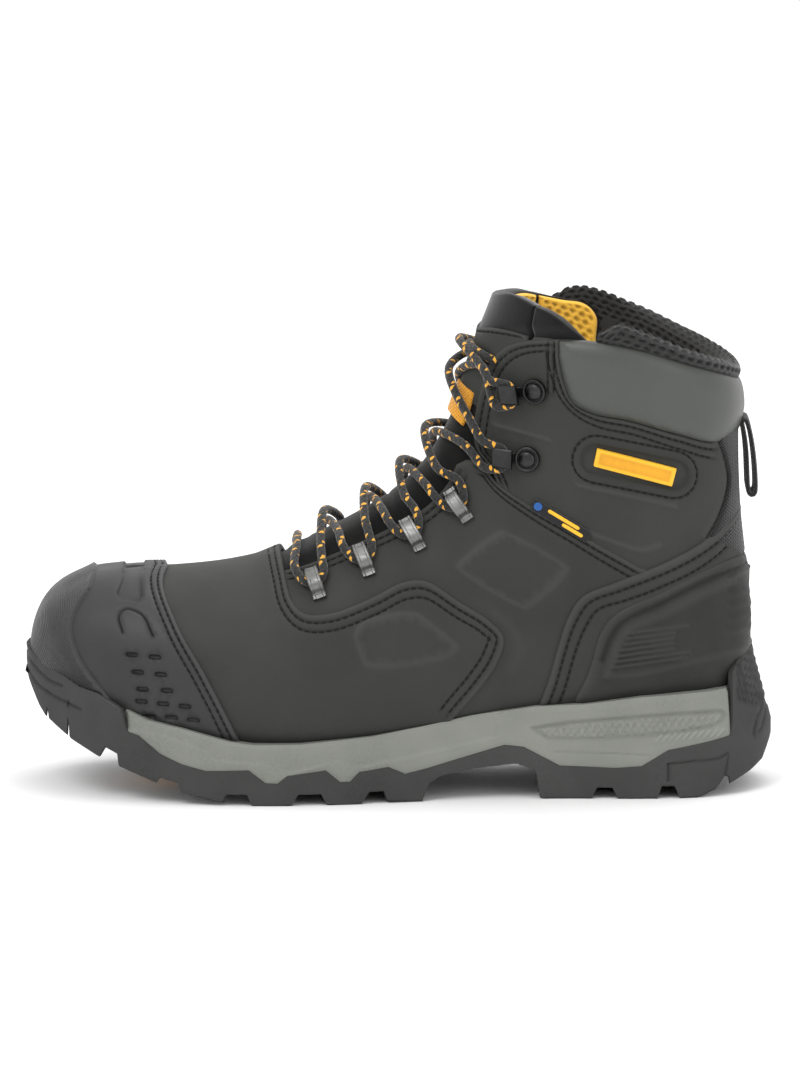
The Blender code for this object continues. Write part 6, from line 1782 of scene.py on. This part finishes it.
def lace():
    """The round braided lace, black with pairs of yellow flecks, and its two hard tips."""
    path = smooth_line(LACE_LINE, LACE_STEP)
    angle = np.linspace(0, 2 * math.pi, LACE_SIDES, endpoint=False)[None, :]
    far = (np.arange(len(path)) * LACE_STEP)[:, None]
    braid = 0.5 + 0.5 * np.maximum(np.cos(STRANDS * angle + far * BRAID_TURN),
                                   np.cos(STRANDS * angle - far * BRAID_TURN))
    turn = np.cos(2 * angle - far * FLECK_TURN)
    cycle = (far / FLECK_SPACING) % 1.0
    bands = np.max([1 - np.abs(cycle - middle) / 0.10 for middle in FLECK_PAIR], axis=0)
    fleck = np.where((bands > 0) & (turn > 0.3), np.minimum(bands * 3, 1) * np.clip((turn - 0.3) * 4, 0, 1),
                     0)
    radii = LACE_CORE + BRAID_RISE * braid + FLECK_RISE * (fleck > 0.3)
    rows = tube_rows(path, LACE_SIDES, lambda k: radii[k])
    swept_grid("lace_cord_braided", rows, LACE_LOOK, slot="lace_cord", replaces=("lace",), sharp=75,
               extra={"fleck": fleck.reshape(-1), "braid": braid.reshape(-1)})
    for side, end, before in (("lateral", *LACE_LINE[:2]), ("medial", *LACE_LINE[:-3:-1])):
        way = unit(end - before)
        spots = np.array([end + way * along for along, _ in TIP_SHAPE])
        rows = tube_rows(spots, TIP_SIDES, lambda k: TIP_SHAPE[k][1])
        swept_grid("lace_tip_hard_" + side, rows, PLASTIC, slot="lace_tip", replaces=("lace_tip_" + side,))


PULL_PATH = ((142.6, 154.0), (143.3, 150.5), (144.3, 145), (144.9, 138), (145.2, 130), (145.4, 125.4),
             (146.2, 122.6), (147.7, 122.2), (148.7, 123.6), (148.7, 128), (148.2, 136), (147.2, 144),
             (146.0, 150), (144.6, 154.6))


def pull_loop():
    """The folded webbing loop that hangs at the heel."""
    path = rounded([(x, 0.0, z) for x, z in PULL_PATH], 2, 0.25, True)
    path = spaced(np.vstack((path, path[:1])), 1.0)[:-1]
    rows = strap(path, (0, 1, 0), 17.0, 2.0, bevelled(0.25), closed=True)
    swept_grid("pull_loop_webbing", rows, WEBBING, endless=True, body="pull_loop", slot="pull_webbing",
               replaces=("pull_loop",))


loops_and_hooks()
lace()
pull_loop()


# ---------------------------------------------------------------- carried-over parts of the CAD

def dress(names, look):
    """Gives CAD nodes a finished material."""
    for name in names:
        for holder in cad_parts[name].material_slots:
            holder.material = look


dress(("steel_toe_cap", "shank"), STEEL)
dress(("heel_stiffener",), STIFFENER)
dress(("insole_board",), BOARD)
dress(("tread_insert_forefoot", "tread_insert_heel"), TREAD_LOOK)


# ---------------------------------------------------------------- camera, floor and light

CAMERA_AWAY, CAMERA_LENS, CAMERA_SENSOR = 4, 316, 36
FLOOR_HALF = 25.0
LIGHTS = (("key", (-0.9, -1.3, 1.9), 17, 1.0), ("top", (0.3, 0.5, 2.0), 16, 1.4),
          ("fill", (1.5, -1.3, 0.9), 5, 1.2))


def shown(obj):
    bpy.context.scene.collection.objects.link(obj)
    return obj


def stage():
    """The camera on the boot's outer side, a pale floor, a white surround and three soft lights."""
    scene = bpy.context.scene
    middle = np.mean(CAD_BOX, axis=0)
    aim = Vector((middle[0] + 0.0006, 0.0, middle[2] - 0.0043))
    camera = shown(bpy.data.objects.new("camera", bpy.data.cameras.new("camera")))
    camera.data.lens = CAMERA_LENS
    camera.data.sensor_width = CAMERA_SENSOR
    camera.data.clip_end = 50
    camera.location = aim + CAMERA_AWAY * Vector((0, -math.cos(PATTERN_LEAN), math.sin(PATTERN_LEAN)))
    camera.rotation_euler = (math.pi / 2 - PATTERN_LEAN, 0, 0)
    scene.camera = camera

    mesh = bpy.data.meshes.new("floor")
    corners = [(x * FLOOR_HALF, y * FLOOR_HALF, 0) for x, y in ((-1, -1), (1, -1), (1, 1), (-1, 1))]
    mesh.from_pydata(corners, [], [(0, 1, 2, 3)])
    pale = Look("floor_paper", 0.9)
    pale.shader.inputs["Base Color"].default_value = (0.93, 0.93, 0.93, 1)
    mesh.materials.append(pale.material)
    shown(bpy.data.objects.new("floor", mesh))

    scene.world = bpy.data.worlds.new("studio")
    scene.world.use_nodes = True
    surround = scene.world.node_tree.nodes["Background"]
    surround.inputs["Color"].default_value = (1, 1, 1, 1)
    surround.inputs["Strength"].default_value = 1.0
    for name, place, power, size in LIGHTS:
        light = bpy.data.lights.new(name, "AREA")
        light.energy = power
        light.size = size
        obj = shown(bpy.data.objects.new(name, light))
        obj.location = place
        obj.rotation_euler = (Vector((0, 0, 0.09)) - Vector(place)).to_track_quat("-Z", "Y").to_euler()
    scene.view_settings.view_transform = "Standard"


stage()
